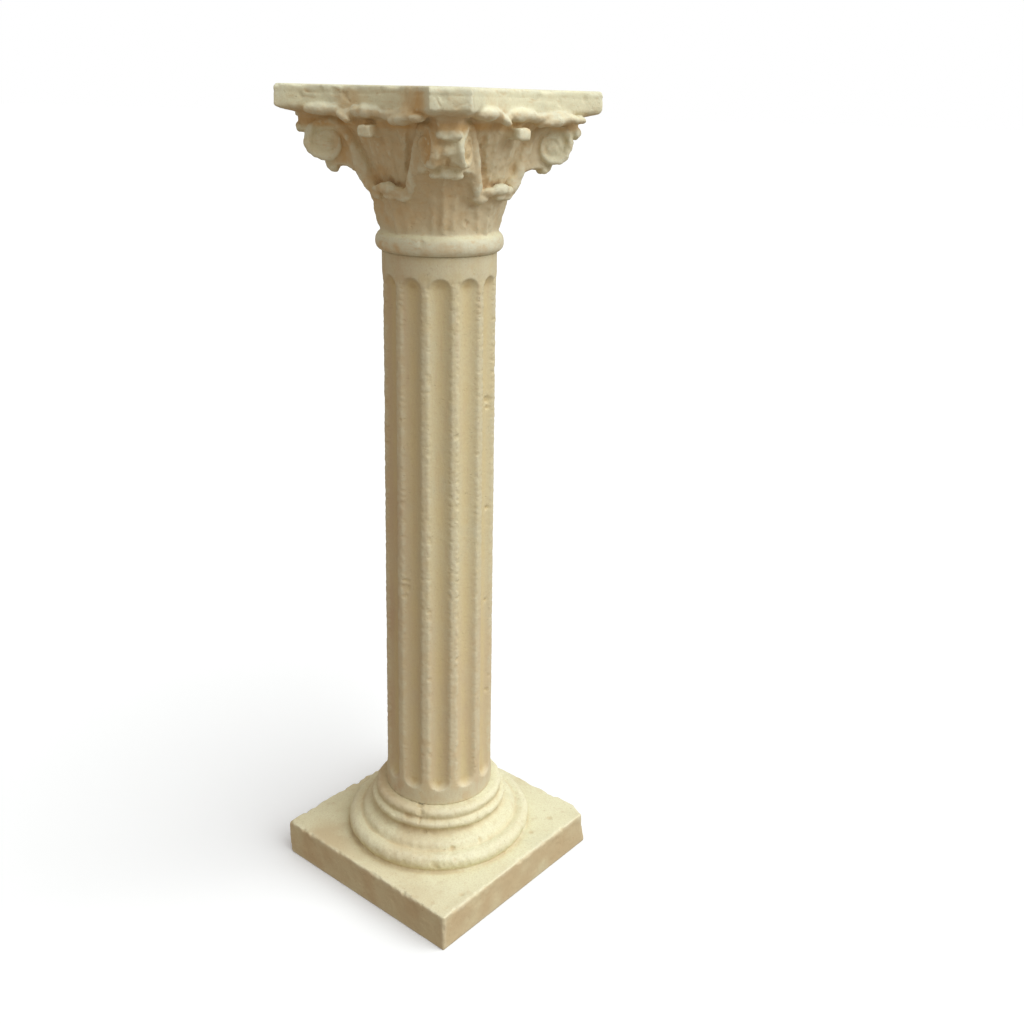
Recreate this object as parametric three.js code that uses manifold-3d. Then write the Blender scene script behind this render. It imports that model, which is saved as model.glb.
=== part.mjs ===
// A pedestal column about a metre tall, cast in plaster: a square plinth with a round moulded base,
// a tapering fluted shaft, and a capital with acanthus leaves, corner volutes and a horned abacus.
// Millimetres, +Z up, the origin under the middle of the plinth, X and Y square to the plinth's sides.
import * as THREE from "three";
import { mergeVertices } from "three/addons/utils/BufferGeometryUtils.js";
import Module from "manifold-3d";

// Driving dimensions: the beds where one casting stands on the next
const bedGap = 0.3;

// Driving dimensions: plinth and moulded base, from the ground up
const plinthSide = 293;
const plinthHeight = 50;
const lowerTorusRadius = 124;
const lowerTorusHeight = 22.6;
const lowerFilletRadius = 104;
const lowerFilletHeight = 3.4;
const scotiaRadius = 85.6;
const scotiaHeight = 21.5;
const upperFilletRadius = 90;
const upperFilletHeight = 4.6;
const upperTorusRadius = 85.5;
const upperTorusHeight = 15.4;

// Driving dimensions: damage to the plinth, as lengths along the edges that meet at the corner
const brokenCorner = { alongX: 24, alongY: 11, atFoot: 2 };
const bruisedFoot = { alongX: 5, alongY: 5, up: 10 };

// Driving dimensions: shaft
const shaftLength = 708;
const shaftFootRadius = 71.1;
const shaftTopRadius = 66.1;
const fluteCount = 12;
const fluteWidth = 25.5;
const fluteDepth = 6;
const plainFootBand = 21.5;
const plainTopBand = 22.5;
const shaftTurn = THREE.MathUtils.degToRad(-1.2);

// Driving dimensions: capital
const capitalHeight = 173.7;
const capitalTwist = THREE.MathUtils.degToRad(1.8);
const astragalProjection = 7.4;
const astragalHeight = 21.5;
const abacusThickness = 22.5;
const soffitDrop = 5.5;
const soffitShare = 0.877;
const hornReach = 177.8;
const hornWidth = 41;
const abacusMidReach = 114;
const abacusEdgeRounding = 2.5;

// Driving dimensions: the rolled tips of the upper leaves along each side of the abacus
const middleTip = { halfWidth: 27, halfHeight: 9, halfDepth: 12 };
const outerTip = { halfWidth: 23, halfHeight: 9, halfDepth: 12 };
const outerTipPlace = 62;
const tipOverhang = 7;
const tipLift = 2.5;

// Driving dimensions: volutes and the small pieces round them
const voluteRadius = 22.7;
const voluteFrontWidth = 32;
const voluteSplay = 0.26;
const scrollBand = 6.5;
const scrollThickness = 9.5;
const scrollRelief = 3;
const channelDepth = 5;
const eyeRadius = 7.5;
const crossBarRadius = 5;
const crossBarWidth = 26;
const budWidth = 18;
const budHeight = 11.5;

// Facets
const roundSides = 32;
const bellSides = 24;
const arcSteps = 3;

const wasm = await Module();
wasm.setup();

// A closed three.js geometry as a solid that can be joined and cut. A geometry that was mirrored
// as its vertices were moved has its faces turned the right way out again.
function solidOf(geometry) {
  const bare = geometry.clone();
  bare.deleteAttribute("normal");
  bare.deleteAttribute("uv");
  const merged = mergeVertices(bare, 1e-4);
  const corners = merged.index.array;
  const triVerts = [];
  for (let i = 0; i < corners.length; i += 3) {
    const [a, b, c] = [corners[i], corners[i + 1], corners[i + 2]];
    if (a !== b && b !== c && c !== a) triVerts.push(a, b, c);
  }
  const surface = (order) => ({
    numProp: 3,
    vertProperties: new Float32Array(merged.attributes.position.array),
    triVerts: new Uint32Array(order),
  });
  const solid = new wasm.Manifold(new wasm.Mesh(surface(triVerts)));
  if (solid.volume() > 0) return solid;
  return new wasm.Manifold(new wasm.Mesh(surface(triVerts.reverse())));
}

function geometryOf(solid) {
  const mesh = solid.getMesh();
  const geometry = new THREE.BufferGeometry();
  geometry.setAttribute("position", new THREE.BufferAttribute(mesh.vertProperties, 3));
  geometry.setIndex(new THREE.BufferAttribute(mesh.triVerts, 1));
  geometry.computeVertexNormals();
  return geometry;
}

function joined(solids) {
  return solids.reduce((whole, piece) => whole.add(piece));
}

// Turns a profile of radius and height round the Z axis.
function turned(profile, sides = roundSides) {
  const lathe = new THREE.LatheGeometry(profile, sides);
  lathe.rotateX(Math.PI / 2);
  return solidOf(lathe);
}

// A direction in plan, as an angle from -Y towards +X.
function inPlan(radius, angle, z) {
  return new THREE.Vector3(radius * Math.sin(angle), -radius * Math.cos(angle), z);
}

// A box with its faces divided, each vertex moved by place(u, v, w): u runs from -1 to 1 across,
// v from 0 to 1 along, and w from 0 at the back to 1 at the face.
function shapedBox(across, along, place) {
  const box = new THREE.BoxGeometry(1, 1, 1, across, along, 1);
  const position = box.attributes.position;
  for (let i = 0; i < position.count; i++) {
    const spot = place(2 * position.getX(i), position.getY(i) + 0.5, position.getZ(i) + 0.5);
    position.setXYZ(i, spot.x, spot.y, spot.z);
  }
  return solidOf(box);
}

// Plinth with a round Attic base

const scotiaTop = lowerTorusHeight + lowerFilletHeight + scotiaHeight;
const upperFilletTop = scotiaTop + upperFilletHeight;
const mouldingHeight = upperFilletTop + upperTorusHeight;
const baseTop = plinthHeight + mouldingHeight;

function mouldings() {
  const sunk = 5;
  const lower = lowerTorusHeight / 2;
  const upper = upperTorusHeight / 2;
  const filletTop = lowerTorusHeight + lowerFilletHeight;
  const profile = new THREE.Path();
  profile.moveTo(0, -sunk);
  profile.lineTo(lowerTorusRadius - lower, -sunk);
  profile.absarc(lowerTorusRadius - lower, lower, lower, -Math.PI / 2, Math.PI / 2);
  profile.lineTo(lowerFilletRadius, lowerTorusHeight);
  profile.lineTo(lowerFilletRadius, filletTop);
  profile.bezierCurveTo(
    lowerFilletRadius - 0.6 * (lowerFilletRadius - scotiaRadius),
    filletTop,
    scotiaRadius - 6,
    filletTop + 0.55 * scotiaHeight,
    upperFilletRadius,
    scotiaTop,
  );
  profile.lineTo(upperFilletRadius, upperFilletTop);
  profile.lineTo(upperTorusRadius - upper, upperFilletTop);
  profile.absarc(upperTorusRadius - upper, upperFilletTop + upper, upper, -Math.PI / 2, Math.PI / 2);
  profile.lineTo(0, mouldingHeight);
  return turned(profile.getPoints(arcSteps)).translate([0, 0, plinthHeight]);
}

// Everything beyond the plane through three points, on the side that their winding faces.
function beyond(a, b, c) {
  const size = 120;
  const facing = new THREE.Plane().setFromCoplanarPoints(a, b, c).normal;
  const middle = a.clone().add(b).add(c).divideScalar(3).addScaledVector(facing, size / 2);
  const block = new THREE.BoxGeometry(size, size, size);
  block.applyQuaternion(new THREE.Quaternion().setFromUnitVectors(new THREE.Vector3(0, 0, 1), facing));
  block.translate(middle.x, middle.y, middle.z);
  return solidOf(block);
}

function plinth() {
  const half = plinthSide / 2;
  const slab = new THREE.BoxGeometry(plinthSide, plinthSide, plinthHeight);
  slab.translate(0, 0, plinthHeight / 2);
  const corner = beyond(
    new THREE.Vector3(half - brokenCorner.atFoot, half, 0),
    new THREE.Vector3(half - brokenCorner.alongX, half, plinthHeight),
    new THREE.Vector3(half, half - brokenCorner.alongY, plinthHeight),
  );
  const foot = beyond(
    new THREE.Vector3(-half, -half, bruisedFoot.up),
    new THREE.Vector3(-half, bruisedFoot.alongY - half, 0),
    new THREE.Vector3(bruisedFoot.alongX - half, -half, 0),
  );
  return solidOf(slab).subtract(corner).subtract(foot);
}

// Fluted shaft

const shaftFoot = baseTop + bedGap;
const shaftTop = shaftFoot + shaftLength;

function shaft() {
  const taper = Math.atan((shaftFootRadius - shaftTopRadius) / shaftLength);
  const scoopRadius = (fluteDepth ** 2 + (fluteWidth / 2) ** 2) / (2 * fluteDepth);
  const fluteFoot = plainFootBand + fluteWidth / 2;
  const fluteTop = shaftLength - plainTopBand - fluteWidth / 2;
  const middle = (fluteFoot + fluteTop) / 2;
  const radiusThere = shaftFootRadius - (middle / shaftLength) * (shaftFootRadius - shaftTopRadius);
  const cutter = new THREE.CapsuleGeometry(scoopRadius, fluteTop - fluteFoot, 4, 20);
  cutter.rotateX(Math.PI / 2 - taper);
  cutter.translate(0, fluteDepth - radiusThere - scoopRadius, middle);
  const scoop = solidOf(cutter);
  const drum = turned(
    [
      new THREE.Vector2(0, 0),
      new THREE.Vector2(shaftFootRadius, 0),
      new THREE.Vector2(shaftTopRadius, shaftLength),
      new THREE.Vector2(0, shaftLength),
    ],
    4 * fluteCount,
  );
  const scoops = [];
  for (let k = 0; k < fluteCount; k++) {
    scoops.push(scoop.rotate([0, 0, ((k + 0.5) * 360) / fluteCount]));
  }
  return drum
    .subtract(joined(scoops))
    .rotate([0, 0, THREE.MathUtils.radToDeg(shaftTurn)])
    .translate([0, 0, shaftFoot]);
}

// Capital, in heights above its own bed

const capitalFoot = shaftTop + bedGap;
const soffitHeight = capitalHeight - abacusThickness - soffitDrop;

// The carving keeps its proportions: out is a share of the way from the neck to the horns' tips,
// and up a share of the way from the astragal to the abacus's soffit.
function carved(out, up) {
  return new THREE.Vector2(
    shaftTopRadius + out * (hornReach - shaftTopRadius),
    astragalHeight + up * (soffitHeight - astragalHeight),
  );
}

function spine(shares) {
  return new THREE.SplineCurve(shares.map(([out, up]) => carved(out, up)));
}

function bell() {
  const bead = astragalHeight / 2;
  const profile = new THREE.Path();
  profile.moveTo(0, 0);
  profile.lineTo(shaftTopRadius, 0);
  profile.absellipse(shaftTopRadius, bead, astragalProjection, bead, -Math.PI / 2, Math.PI / 2);
  const wall = [
    [-0.02, 0],
    [0.0, 0.18],
    [0.07, 0.45],
    [0.2, 0.74],
    [0.38, 1.02],
  ];
  for (const [out, up] of wall) {
    const spot = carved(out, up);
    profile.lineTo(spot.x, spot.y);
  }
  profile.lineTo(0, carved(0, 1.02).y);
  return turned(profile.getPoints(arcSteps), bellSides);
}

// The arc that hollows each side of the abacus: its radius, how far out its centre lies, and half
// the angle that it sweeps between the horns.
function abacusSweep() {
  const tip = (hornReach + hornWidth / 2) * Math.SQRT1_2;
  const side = (hornReach - hornWidth / 2) * Math.SQRT1_2;
  const rise = tip - abacusMidReach;
  const radius = (rise ** 2 + side ** 2) / (2 * rise);
  return { radius, away: abacusMidReach + radius, half: Math.asin(side / radius) };
}

// The abacus in plan: four hollow sides between horns with their tips cut square.
function abacusPlan() {
  const { radius, away, half } = abacusSweep();
  const plan = new THREE.Shape();
  for (let k = 0; k < 4; k++) {
    const turn = (k * Math.PI) / 2;
    const centre = [away * Math.cos(turn), away * Math.sin(turn)];
    plan.absarc(...centre, radius, turn + Math.PI + half, turn + Math.PI - half, true);
  }
  plan.closePath();
  return plan;
}

function abacus() {
  const levels = [
    { z: soffitHeight, share: soffitShare },
    { z: soffitHeight + soffitDrop, share: 1 },
    { z: capitalHeight - abacusEdgeRounding, share: 1 },
    { z: capitalHeight, share: 1 - abacusEdgeRounding / hornReach },
  ];
  const steps = levels.length - 1;
  const slab = new THREE.ExtrudeGeometry(abacusPlan(), {
    depth: steps,
    steps,
    bevelEnabled: false,
    curveSegments: 9,
  });
  const position = slab.attributes.position;
  for (let i = 0; i < position.count; i++) {
    const level = levels[Math.round(position.getZ(i))];
    position.setXYZ(i, position.getX(i) * level.share, position.getY(i) * level.share, level.z);
  }
  return solidOf(slab);
}

// A leaf on the bell: its face follows a spine of radius and height, its edges are lobed, and a
// midrib stands up along it. turnAt(v) is the leaf's direction in plan, for one that leans.
function leaf({ path, halfWidth, thick, lobes, lobeDepth, rib, turnAt, along }) {
  return shapedBox(2, along, (u, v, w) => {
    const spot = path.getPoint(v);
    const tangent = path.getTangent(v);
    const edge = 1 - lobeDepth * Math.sin(lobes * Math.PI * v) ** 2;
    const lateral = u * halfWidth(v) * edge;
    const crown = rib * (1 - Math.abs(u)) - 0.35 * thick * u * u;
    const outward = w === 1 ? crown : -thick;
    const radius = spot.x + outward * tangent.y;
    const z = spot.y - outward * tangent.x;
    return inPlan(radius, turnAt(v) + lateral / spot.x, z);
  });
}

const cornerLeafPath = spine([
  [0.026, -0.02],
  [0.035, 0.114],
  [0.071, 0.243],
  [0.124, 0.38],
  [0.178, 0.477],
  [0.27, 0.555],
  [0.36, 0.57],
  [0.45, 0.555],
  [0.49, 0.52],
]);
const faceLeafPath = spine([
  [0.026, -0.02],
  [0.035, 0.114],
  [0.066, 0.235],
  [0.107, 0.325],
  [0.154, 0.39],
  [0.195, 0.4],
  [0.212, 0.355],
]);
const middleLeafPath = spine([
  [0.13, 0.364],
  [0.2, 0.581],
  [0.27, 0.758],
  [0.33, 0.9],
  [0.39, 0.99],
]);
const calyxLeafPath = spine([
  [0.24, 0.68],
  [0.33, 0.84],
  [0.42, 0.97],
  [0.49, 1.06],
]);

function lowerLeaves() {
  const corner = { path: cornerLeafPath, halfWidth: (v) => 24 - 6 * v ** 3, thick: 7, along: 7 };
  const face = { path: faceLeafPath, halfWidth: (v) => 23 + 3 * v - 5 * v ** 4, thick: 8, along: 5 };
  const solids = [];
  for (let k = 0; k < 4; k++) {
    const turn = (k * Math.PI) / 2;
    const shared = { lobes: 3, lobeDepth: 0.14, rib: 3 };
    solids.push(leaf({ ...corner, ...shared, turnAt: () => turn + Math.PI / 4 }));
    solids.push(leaf({ ...face, ...shared, turnAt: () => turn }));
  }
  return solids;
}

// The rolled tip of an upper leaf, a long pillow lapping the foot of the abacus's hollow side.
// Its place is a distance along the side from the middle.
function rolledTip(turn, along, { halfWidth, halfHeight, halfDepth }) {
  const plan = abacusSweep();
  const radius = plan.radius - tipOverhang + halfDepth;
  const bend = Math.asin(along / radius);
  const pillow = new THREE.SphereGeometry(1, 7, 5);
  pillow.rotateX(Math.PI / 2);
  pillow.scale(halfWidth, halfDepth, halfHeight);
  pillow.translate(0, radius, 0);
  pillow.rotateZ(-bend);
  pillow.translate(0, -plan.away, soffitHeight + tipLift);
  pillow.rotateZ(turn);
  return solidOf(pillow);
}

function upperLeaves() {
  const middle = { path: middleLeafPath, halfWidth: (v) => 20 + 5 * v, thick: 11, rib: 1.6 };
  const calyx = { path: calyxLeafPath, halfWidth: (v) => 9 + 10 * v, thick: 12, rib: 1 };
  const shared = { lobes: 1, lobeDepth: 0 };
  const spread = THREE.MathUtils.degToRad(18);
  const lean = THREE.MathUtils.degToRad(9);
  const solids = [];
  for (let k = 0; k < 4; k++) {
    const turn = (k * Math.PI) / 2;
    solids.push(leaf({ ...middle, ...shared, along: 3, turnAt: () => turn }));
    solids.push(rolledTip(turn, 0, middleTip));
    for (const side of [-1, 1]) {
      const turnAt = (v) => turn + side * (spread + lean * v);
      solids.push(leaf({ ...calyx, ...shared, along: 2, turnAt }));
      solids.push(rolledTip(turn, side * outerTipPlace, outerTip));
    }
  }
  return solids;
}

// A spot on the corner piece under a horn: out along the diagonal, sideways across it, and up.
function atHorn(corner, out, sideways, z) {
  const angle = Math.PI / 4 + (corner * Math.PI) / 2;
  const along = inPlan(out, angle, z);
  return along.add(inPlan(sideways, angle + Math.PI / 2, 0));
}

const voluteCentre = carved(0.536, 0.779);
const voluteFront = voluteCentre.x + voluteRadius;

// Half the corner piece's width, which grows from the volutes' front back towards the bell.
function cornerHalfWidth(out) {
  return voluteFrontWidth / 2 + voluteSplay * (voluteFront - out);
}

// The line of a scroll: the stem climbs the bell, then winds once and a half round the eye.
function scrollPath() {
  const stem = [
    [0.15, 0.46],
    [0.2, 0.63],
    [0.27, 0.783],
    [0.36, 0.9],
  ].map(([out, up]) => carved(out, up));
  const turns = 1.1;
  const steps = 10;
  const coil = [];
  for (let k = 0; k <= steps; k++) {
    const share = k / steps;
    const angle = Math.PI * (0.56 - 2 * turns * share);
    const radius = (voluteRadius - scrollBand / 2) * (1 - 0.62 * Math.max(0, share - 0.35) ** 0.8);
    coil.push(new THREE.Vector2(radius * Math.cos(angle), radius * Math.sin(angle)).add(voluteCentre));
  }
  return new THREE.SplineCurve([...stem, ...coil]);
}

function volutePair(corner) {
  const path = scrollPath();
  const solids = [];
  const coreRadius = voluteRadius - channelDepth;
  const core = new THREE.CylinderGeometry(coreRadius, coreRadius, 2, 10);
  const position = core.attributes.position;
  for (let i = 0; i < position.count; i++) {
    const out = voluteCentre.x + position.getX(i);
    const half = cornerHalfWidth(out) - scrollRelief;
    const spot = atHorn(corner, out, half * position.getY(i), voluteCentre.y + position.getZ(i));
    position.setXYZ(i, spot.x, spot.y, spot.z);
  }
  solids.push(solidOf(core));
  for (const side of [-1, 1]) {
    const scroll = shapedBox(1, 13, (u, v, w) => {
      const spot = path.getPoint(v);
      const tangent = path.getTangent(v);
      const rim = (w - 0.5) * scrollBand;
      const out = spot.x - rim * tangent.y;
      const inward = ((1 - u) / 2) * scrollThickness;
      return atHorn(corner, out, side * (cornerHalfWidth(out) - inward), spot.y + rim * tangent.x);
    });
    solids.push(scroll);
    const eye = new THREE.CylinderGeometry(eyeRadius, eyeRadius + 1, 12, 7);
    eye.translate(0, cornerHalfWidth(voluteCentre.x) - 6.5, 0);
    if (side < 0) eye.rotateX(Math.PI);
    const at = eye.attributes.position;
    for (let i = 0; i < at.count; i++) {
      const spot = atHorn(corner, voluteCentre.x + at.getX(i), at.getY(i), voluteCentre.y + at.getZ(i));
      at.setXYZ(i, spot.x, spot.y, spot.z);
    }
    solids.push(solidOf(eye));
  }
  return solids;
}

// Between each pair of volutes and the horn: a web back to the bell, and a bar across the front.
function hornSupport(corner) {
  const web = shapedBox(1, 3, (u, v, w) => {
    const out = carved(0.1, 0).x + v * (voluteFront + 2 - carved(0.1, 0).x);
    const foot = carved(0, 0.5 + 0.37 * v ** 1.5).y;
    const z = w === 1 ? soffitHeight + soffitDrop / 2 : foot;
    return atHorn(corner, out, u * (cornerHalfWidth(out) - 8), z);
  });
  const bar = new THREE.CylinderGeometry(crossBarRadius, crossBarRadius, crossBarWidth, 7);
  const position = bar.attributes.position;
  const barOut = voluteFront + 3;
  const barHeight = carved(0, 0.87).y;
  for (let i = 0; i < position.count; i++) {
    const out = barOut + position.getX(i);
    const spot = atHorn(corner, out, position.getY(i), barHeight + position.getZ(i) * 1.3);
    position.setXYZ(i, spot.x, spot.y, spot.z);
  }
  return [web, solidOf(bar)];
}

// The small square bud under the middle of each side of the abacus.
function bud(side) {
  const reach = carved(0.47, 0).x;
  const back = carved(0.2, 0).x;
  const block = new THREE.BoxGeometry(budWidth, reach - back, budHeight);
  block.translate(0, -(reach + back) / 2, carved(0, 0.87).y);
  block.rotateZ((side * Math.PI) / 2);
  return solidOf(block);
}

function capital() {
  const solids = [bell(), abacus(), ...lowerLeaves(), ...upperLeaves()];
  for (let k = 0; k < 4; k++) {
    solids.push(...volutePair(k), ...hornSupport(k), bud(k));
  }
  return joined(solids)
    .rotate([0, 0, THREE.MathUtils.radToDeg(capitalTwist)])
    .translate([0, 0, capitalFoot]);
}

// The column

const plaster = new THREE.MeshStandardMaterial({ color: 0xdccfa4, roughness: 0.72, metalness: 0 });

function piece(name, solid) {
  const mesh = new THREE.Mesh(geometryOf(solid), plaster.clone());
  mesh.name = name;
  return mesh;
}

const column = new THREE.Group();
column.add(piece("plinth_and_base", plinth().add(mouldings())));
column.add(piece("fluted_shaft", shaft()));
column.add(piece("capital", capital()));

export default column;
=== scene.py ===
import math
from functools import partial

import bmesh
import bpy
import numpy as np
from mathutils import Matrix, Vector
from mathutils.bvhtree import BVHTree


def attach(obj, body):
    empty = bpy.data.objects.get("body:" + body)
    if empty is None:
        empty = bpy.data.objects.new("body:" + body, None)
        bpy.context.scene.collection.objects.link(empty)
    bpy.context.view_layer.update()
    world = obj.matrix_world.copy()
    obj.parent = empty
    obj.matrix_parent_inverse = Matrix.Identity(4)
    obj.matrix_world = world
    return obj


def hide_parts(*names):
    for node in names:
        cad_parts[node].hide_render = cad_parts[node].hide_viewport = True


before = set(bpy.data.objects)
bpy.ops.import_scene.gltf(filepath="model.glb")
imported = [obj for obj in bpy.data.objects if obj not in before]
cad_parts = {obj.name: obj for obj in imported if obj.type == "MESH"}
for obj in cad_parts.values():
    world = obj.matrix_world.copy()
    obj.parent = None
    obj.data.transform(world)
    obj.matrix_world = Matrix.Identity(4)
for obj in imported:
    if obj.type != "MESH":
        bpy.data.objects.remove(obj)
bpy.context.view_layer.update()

mm = 0.001


# small tools

def meshObject(name, verts, faces):
    mesh = bpy.data.meshes.new(name)
    mesh.from_pydata([tuple(v) for v in np.asarray(verts, dtype=float)], [], [tuple(f) for f in faces])
    mesh.update()
    thing = bpy.data.objects.new(name, mesh)
    bpy.context.scene.collection.objects.link(thing)
    return thing


def removeObject(thing):
    mesh = thing.data
    bpy.data.objects.remove(thing)
    if mesh.users == 0:
        bpy.data.meshes.remove(mesh)


def bakedObject(thing, name):
    # the evaluated mesh as a plain object, without the modifiers
    depsgraph = bpy.context.evaluated_depsgraph_get()
    mesh = bpy.data.meshes.new_from_object(thing.evaluated_get(depsgraph))
    mesh.name = name
    result = bpy.data.objects.new(name, mesh)
    bpy.context.scene.collection.objects.link(result)
    removeObject(thing)
    return result


def gridFaces(rows, columns, closed=False):
    # quads between rows of points; a closed grid joins its last column to its first
    quads = []
    last = columns if closed else columns - 1
    for i in range(rows - 1):
        for j in range(last):
            k = (j + 1) % columns
            quads.append((i * columns + j, i * columns + k, (i + 1) * columns + k, (i + 1) * columns + j))
    return quads


def closedShell(front, back):
    # two grids of the same size, stitched along their borders
    rows, columns = front.shape[:2]
    count = rows * columns
    verts = np.concatenate([front.reshape(-1, 3), back.reshape(-1, 3)])
    quads = gridFaces(rows, columns)
    faces = [tuple(reversed(q)) for q in quads] + [tuple(i + count for i in q) for q in quads]
    rim = list(range(columns))
    rim += [i * columns + columns - 1 for i in range(1, rows)]
    rim += [(rows - 1) * columns + j for j in range(columns - 2, -1, -1)]
    rim += [i * columns for i in range(rows - 2, 0, -1)]
    faces += [(a, b, b + count, a + count) for a, b in zip(rim, rim[1:] + rim[:1])]
    return verts, faces


def cappedShell(rings, foot, head):
    # closed rings of points, shut with a fan round a point at each end
    rows, sides = rings.shape[:2]
    verts = np.concatenate([rings.reshape(-1, 3), [foot, head]])
    faces = gridFaces(rows, sides, closed=True)
    first, last, top = rows * sides, rows * sides + 1, (rows - 1) * sides
    for j in range(sides):
        k = (j + 1) % sides
        faces += [(first, k, j), (last, top + j, top + k)]
    return verts, faces


def circle(sides):
    return np.arange(sides) * 2 * math.pi / sides


def turnedShell(profile, sides):
    # a profile of radius and height turned round Z, closed on the axis at both ends
    radius, height = profile[:, :1], np.broadcast_to(profile[:, 1:], (len(profile), sides))
    rings = np.stack([radius * np.cos(circle(sides)), radius * np.sin(circle(sides)), height], 2)
    return cappedShell(rings, [0, 0, profile[0, 1]], [0, 0, profile[-1, 1]])


def tubeShell(path, across, up, halfAcross, halfUp, sides=14):
    # an oval tube along a path; across and up are the oval's axes at each point
    wide = (halfAcross[:, None] * np.cos(circle(sides))[None, :])[:, :, None]
    tall = (halfUp[:, None] * np.sin(circle(sides))[None, :])[:, :, None]
    rings = path[:, None, :] + across[:, None, :] * wide + up[:, None, :] * tall
    return cappedShell(rings, path[0], path[-1])


def pebbleShell(centre, axes, halves, rows=14, sides=20, power=2.0, lobes=0, lobeDepth=0.0):
    # a rounded lump on three axes; a power above 2 squares it up, lobes swell it along its first axis
    lat = np.linspace(-math.pi / 2, math.pi / 2, rows)
    lon = circle(sides)

    def squared(value):
        return np.sign(value) * np.abs(value) ** (2 / power)

    x = squared(np.cos(lat))[:, None] * squared(np.cos(lon))[None, :]
    y = squared(np.cos(lat))[:, None] * squared(np.sin(lon))[None, :]
    z = squared(np.sin(lat))[:, None] * np.ones(sides)[None, :]
    swell = 1 + lobeDepth * (np.cos(lobes * math.pi * x) - 1) if lobes else 1.0
    local = np.stack([x * halves[0], y * swell * halves[1], z * swell * halves[2]], 2)
    world = np.asarray(centre) + local @ np.asarray(axes, dtype=float)
    return cappedShell(world[1:-1], world[0, 0], world[-1, 0])


def joinShells(shells):
    verts, faces, count = [], [], 0
    for points, polygons in shells:
        verts.append(np.asarray(points, dtype=float))
        faces += [tuple(i + count for i in f) for f in polygons]
        count += len(points)
    return np.concatenate(verts), faces


def outwardFaces(thing):
    # every closed island of the mesh has its faces turned outwards
    bm = bmesh.new()
    bm.from_mesh(thing.data)
    bmesh.ops.recalc_face_normals(bm, faces=bm.faces)
    bm.to_mesh(thing.data)
    bm.free()
    thing.data.update()


def smoothPath(points, samples):
    # a smooth curve through all the points, evenly sampled in its parameter
    points = np.asarray(points, dtype=float)
    ends = np.concatenate([[2 * points[0] - points[1]], points, [2 * points[-1] - points[-2]]])
    t = np.linspace(0, len(points) - 1, samples)
    i = np.minimum(t.astype(int), len(points) - 2)
    f = (t - i)[:, None]
    a, b, c, d = ends[i], ends[i + 1], ends[i + 2], ends[i + 3]
    return 0.5 * (2 * b + (c - a) * f + (2 * a - 5 * b + 4 * c - d) * f**2 + (3 * b - a - 3 * c + d) * f**3)


def evenPath(points, samples):
    # the same curve with its samples evenly spaced along its length
    dense = smoothPath(points, 40 * len(points))
    length = np.concatenate([[0], np.cumsum(np.linalg.norm(np.diff(dense, axis=0), axis=1))])
    at = np.linspace(0, length[-1], samples)
    return np.stack([np.interp(at, length, dense[:, k]) for k in range(dense.shape[1])], 1)


def meshValues(thing, items, key, width, kind=float):
    # one property of all vertices or edges, a row for each
    collection = getattr(thing.data, items)
    flat = np.empty(len(collection) * width, dtype=kind)
    collection.foreach_get(key, flat)
    return flat.reshape(-1, width)


def coordinates(thing):
    return meshValues(thing, "vertices", "co", 3)


def setCoordinates(thing, points):
    thing.data.vertices.foreach_set("co", np.ascontiguousarray(points, dtype=np.float32).ravel())
    thing.data.update()


def vertexNormals(thing):
    return meshValues(thing, "vertices", "normal", 3)


def edgeEnds(thing):
    return meshValues(thing, "edges", "vertices", 2, np.int32)


def relaxed(points, ends, rounds, strength=0.5):
    # each point moves towards the mean of its neighbours
    count = len(points)
    a, b = ends.T
    degree = np.maximum(np.bincount(a, minlength=count) + np.bincount(b, minlength=count), 1)[:, None]

    def gathered(values):
        return np.bincount(a, values[b], count) + np.bincount(b, values[a], count)

    points = points.copy()
    for _ in range(rounds):
        total = np.stack([gathered(column) for column in points.T], 1)
        points += strength * (total / degree - points)
    return points


def smoothStep(low, high, value):
    t = np.clip((value - low) / (high - low), 0, 1)
    return t * t * (3 - 2 * t)


def band(value, start, full, stillFull, end):
    # rises from start to full, falls from stillFull to end
    return smoothStep(start, full, value) * smoothStep(end, stillFull, value)


def softNoise(points, size, seed, tall=1.0):
    # smooth noise from -1 to 1 whose lumps are about size across; tall below 1 draws them out upright, and
    # above 1 flattens them
    lattice = np.random.default_rng(seed).random((32, 32, 32)) * 2 - 1
    scaled = points * np.array([1, 1, tall]) / size + 100.37
    cell = np.floor(scaled).astype(int)
    f = scaled - cell
    f = f * f * (3 - 2 * f)
    total = np.zeros(len(points))
    for corner in np.ndindex(2, 2, 2):
        x, y, z = ((cell + corner) % 32).T
        wx, wy, wz = (f[:, k] if corner[k] else 1 - f[:, k] for k in range(3))
        total += wx * wy * wz * lattice[x, y, z]
    return total


def roughNoise(points, size, seed, tall=1.0):
    return sum(0.5**k * softNoise(points, size / 2**k, seed + k, tall) for k in range(3)) / 1.6


def pushDents(points, normals, dents):
    # each dent is a place, a radius and a depth, all in millimetres
    for x, y, z, radius, depth in dents:
        away = np.linalg.norm(points - np.array([x, y, z]) * mm, axis=1) / (radius * mm)
        wobble = 1 + 0.35 * softNoise(points, radius * 0.7 * mm, int(abs(x * 7 + y * 3 + z)) % 997)
        points = points - normals * (depth * mm * np.clip(1 - (away * wobble) ** 2, 0, 1))[:, None]
    return points


def remeshed(thing, name, voxel):
    remesh = thing.modifiers.new("remesh", "REMESH")
    remesh.mode = "VOXEL"
    remesh.voxel_size = voxel
    remesh.adaptivity = 0
    return bakedObject(thing, name)


def thinned(thing, name, most):
    triangles = sum(len(p.vertices) - 2 for p in thing.data.polygons)
    if triangles <= most:
        return thing
    decimate = thing.modifiers.new("thin", "DECIMATE")
    decimate.ratio = most / triangles
    decimate.use_collapse_triangulate = True
    return bakedObject(thing, name)


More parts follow.
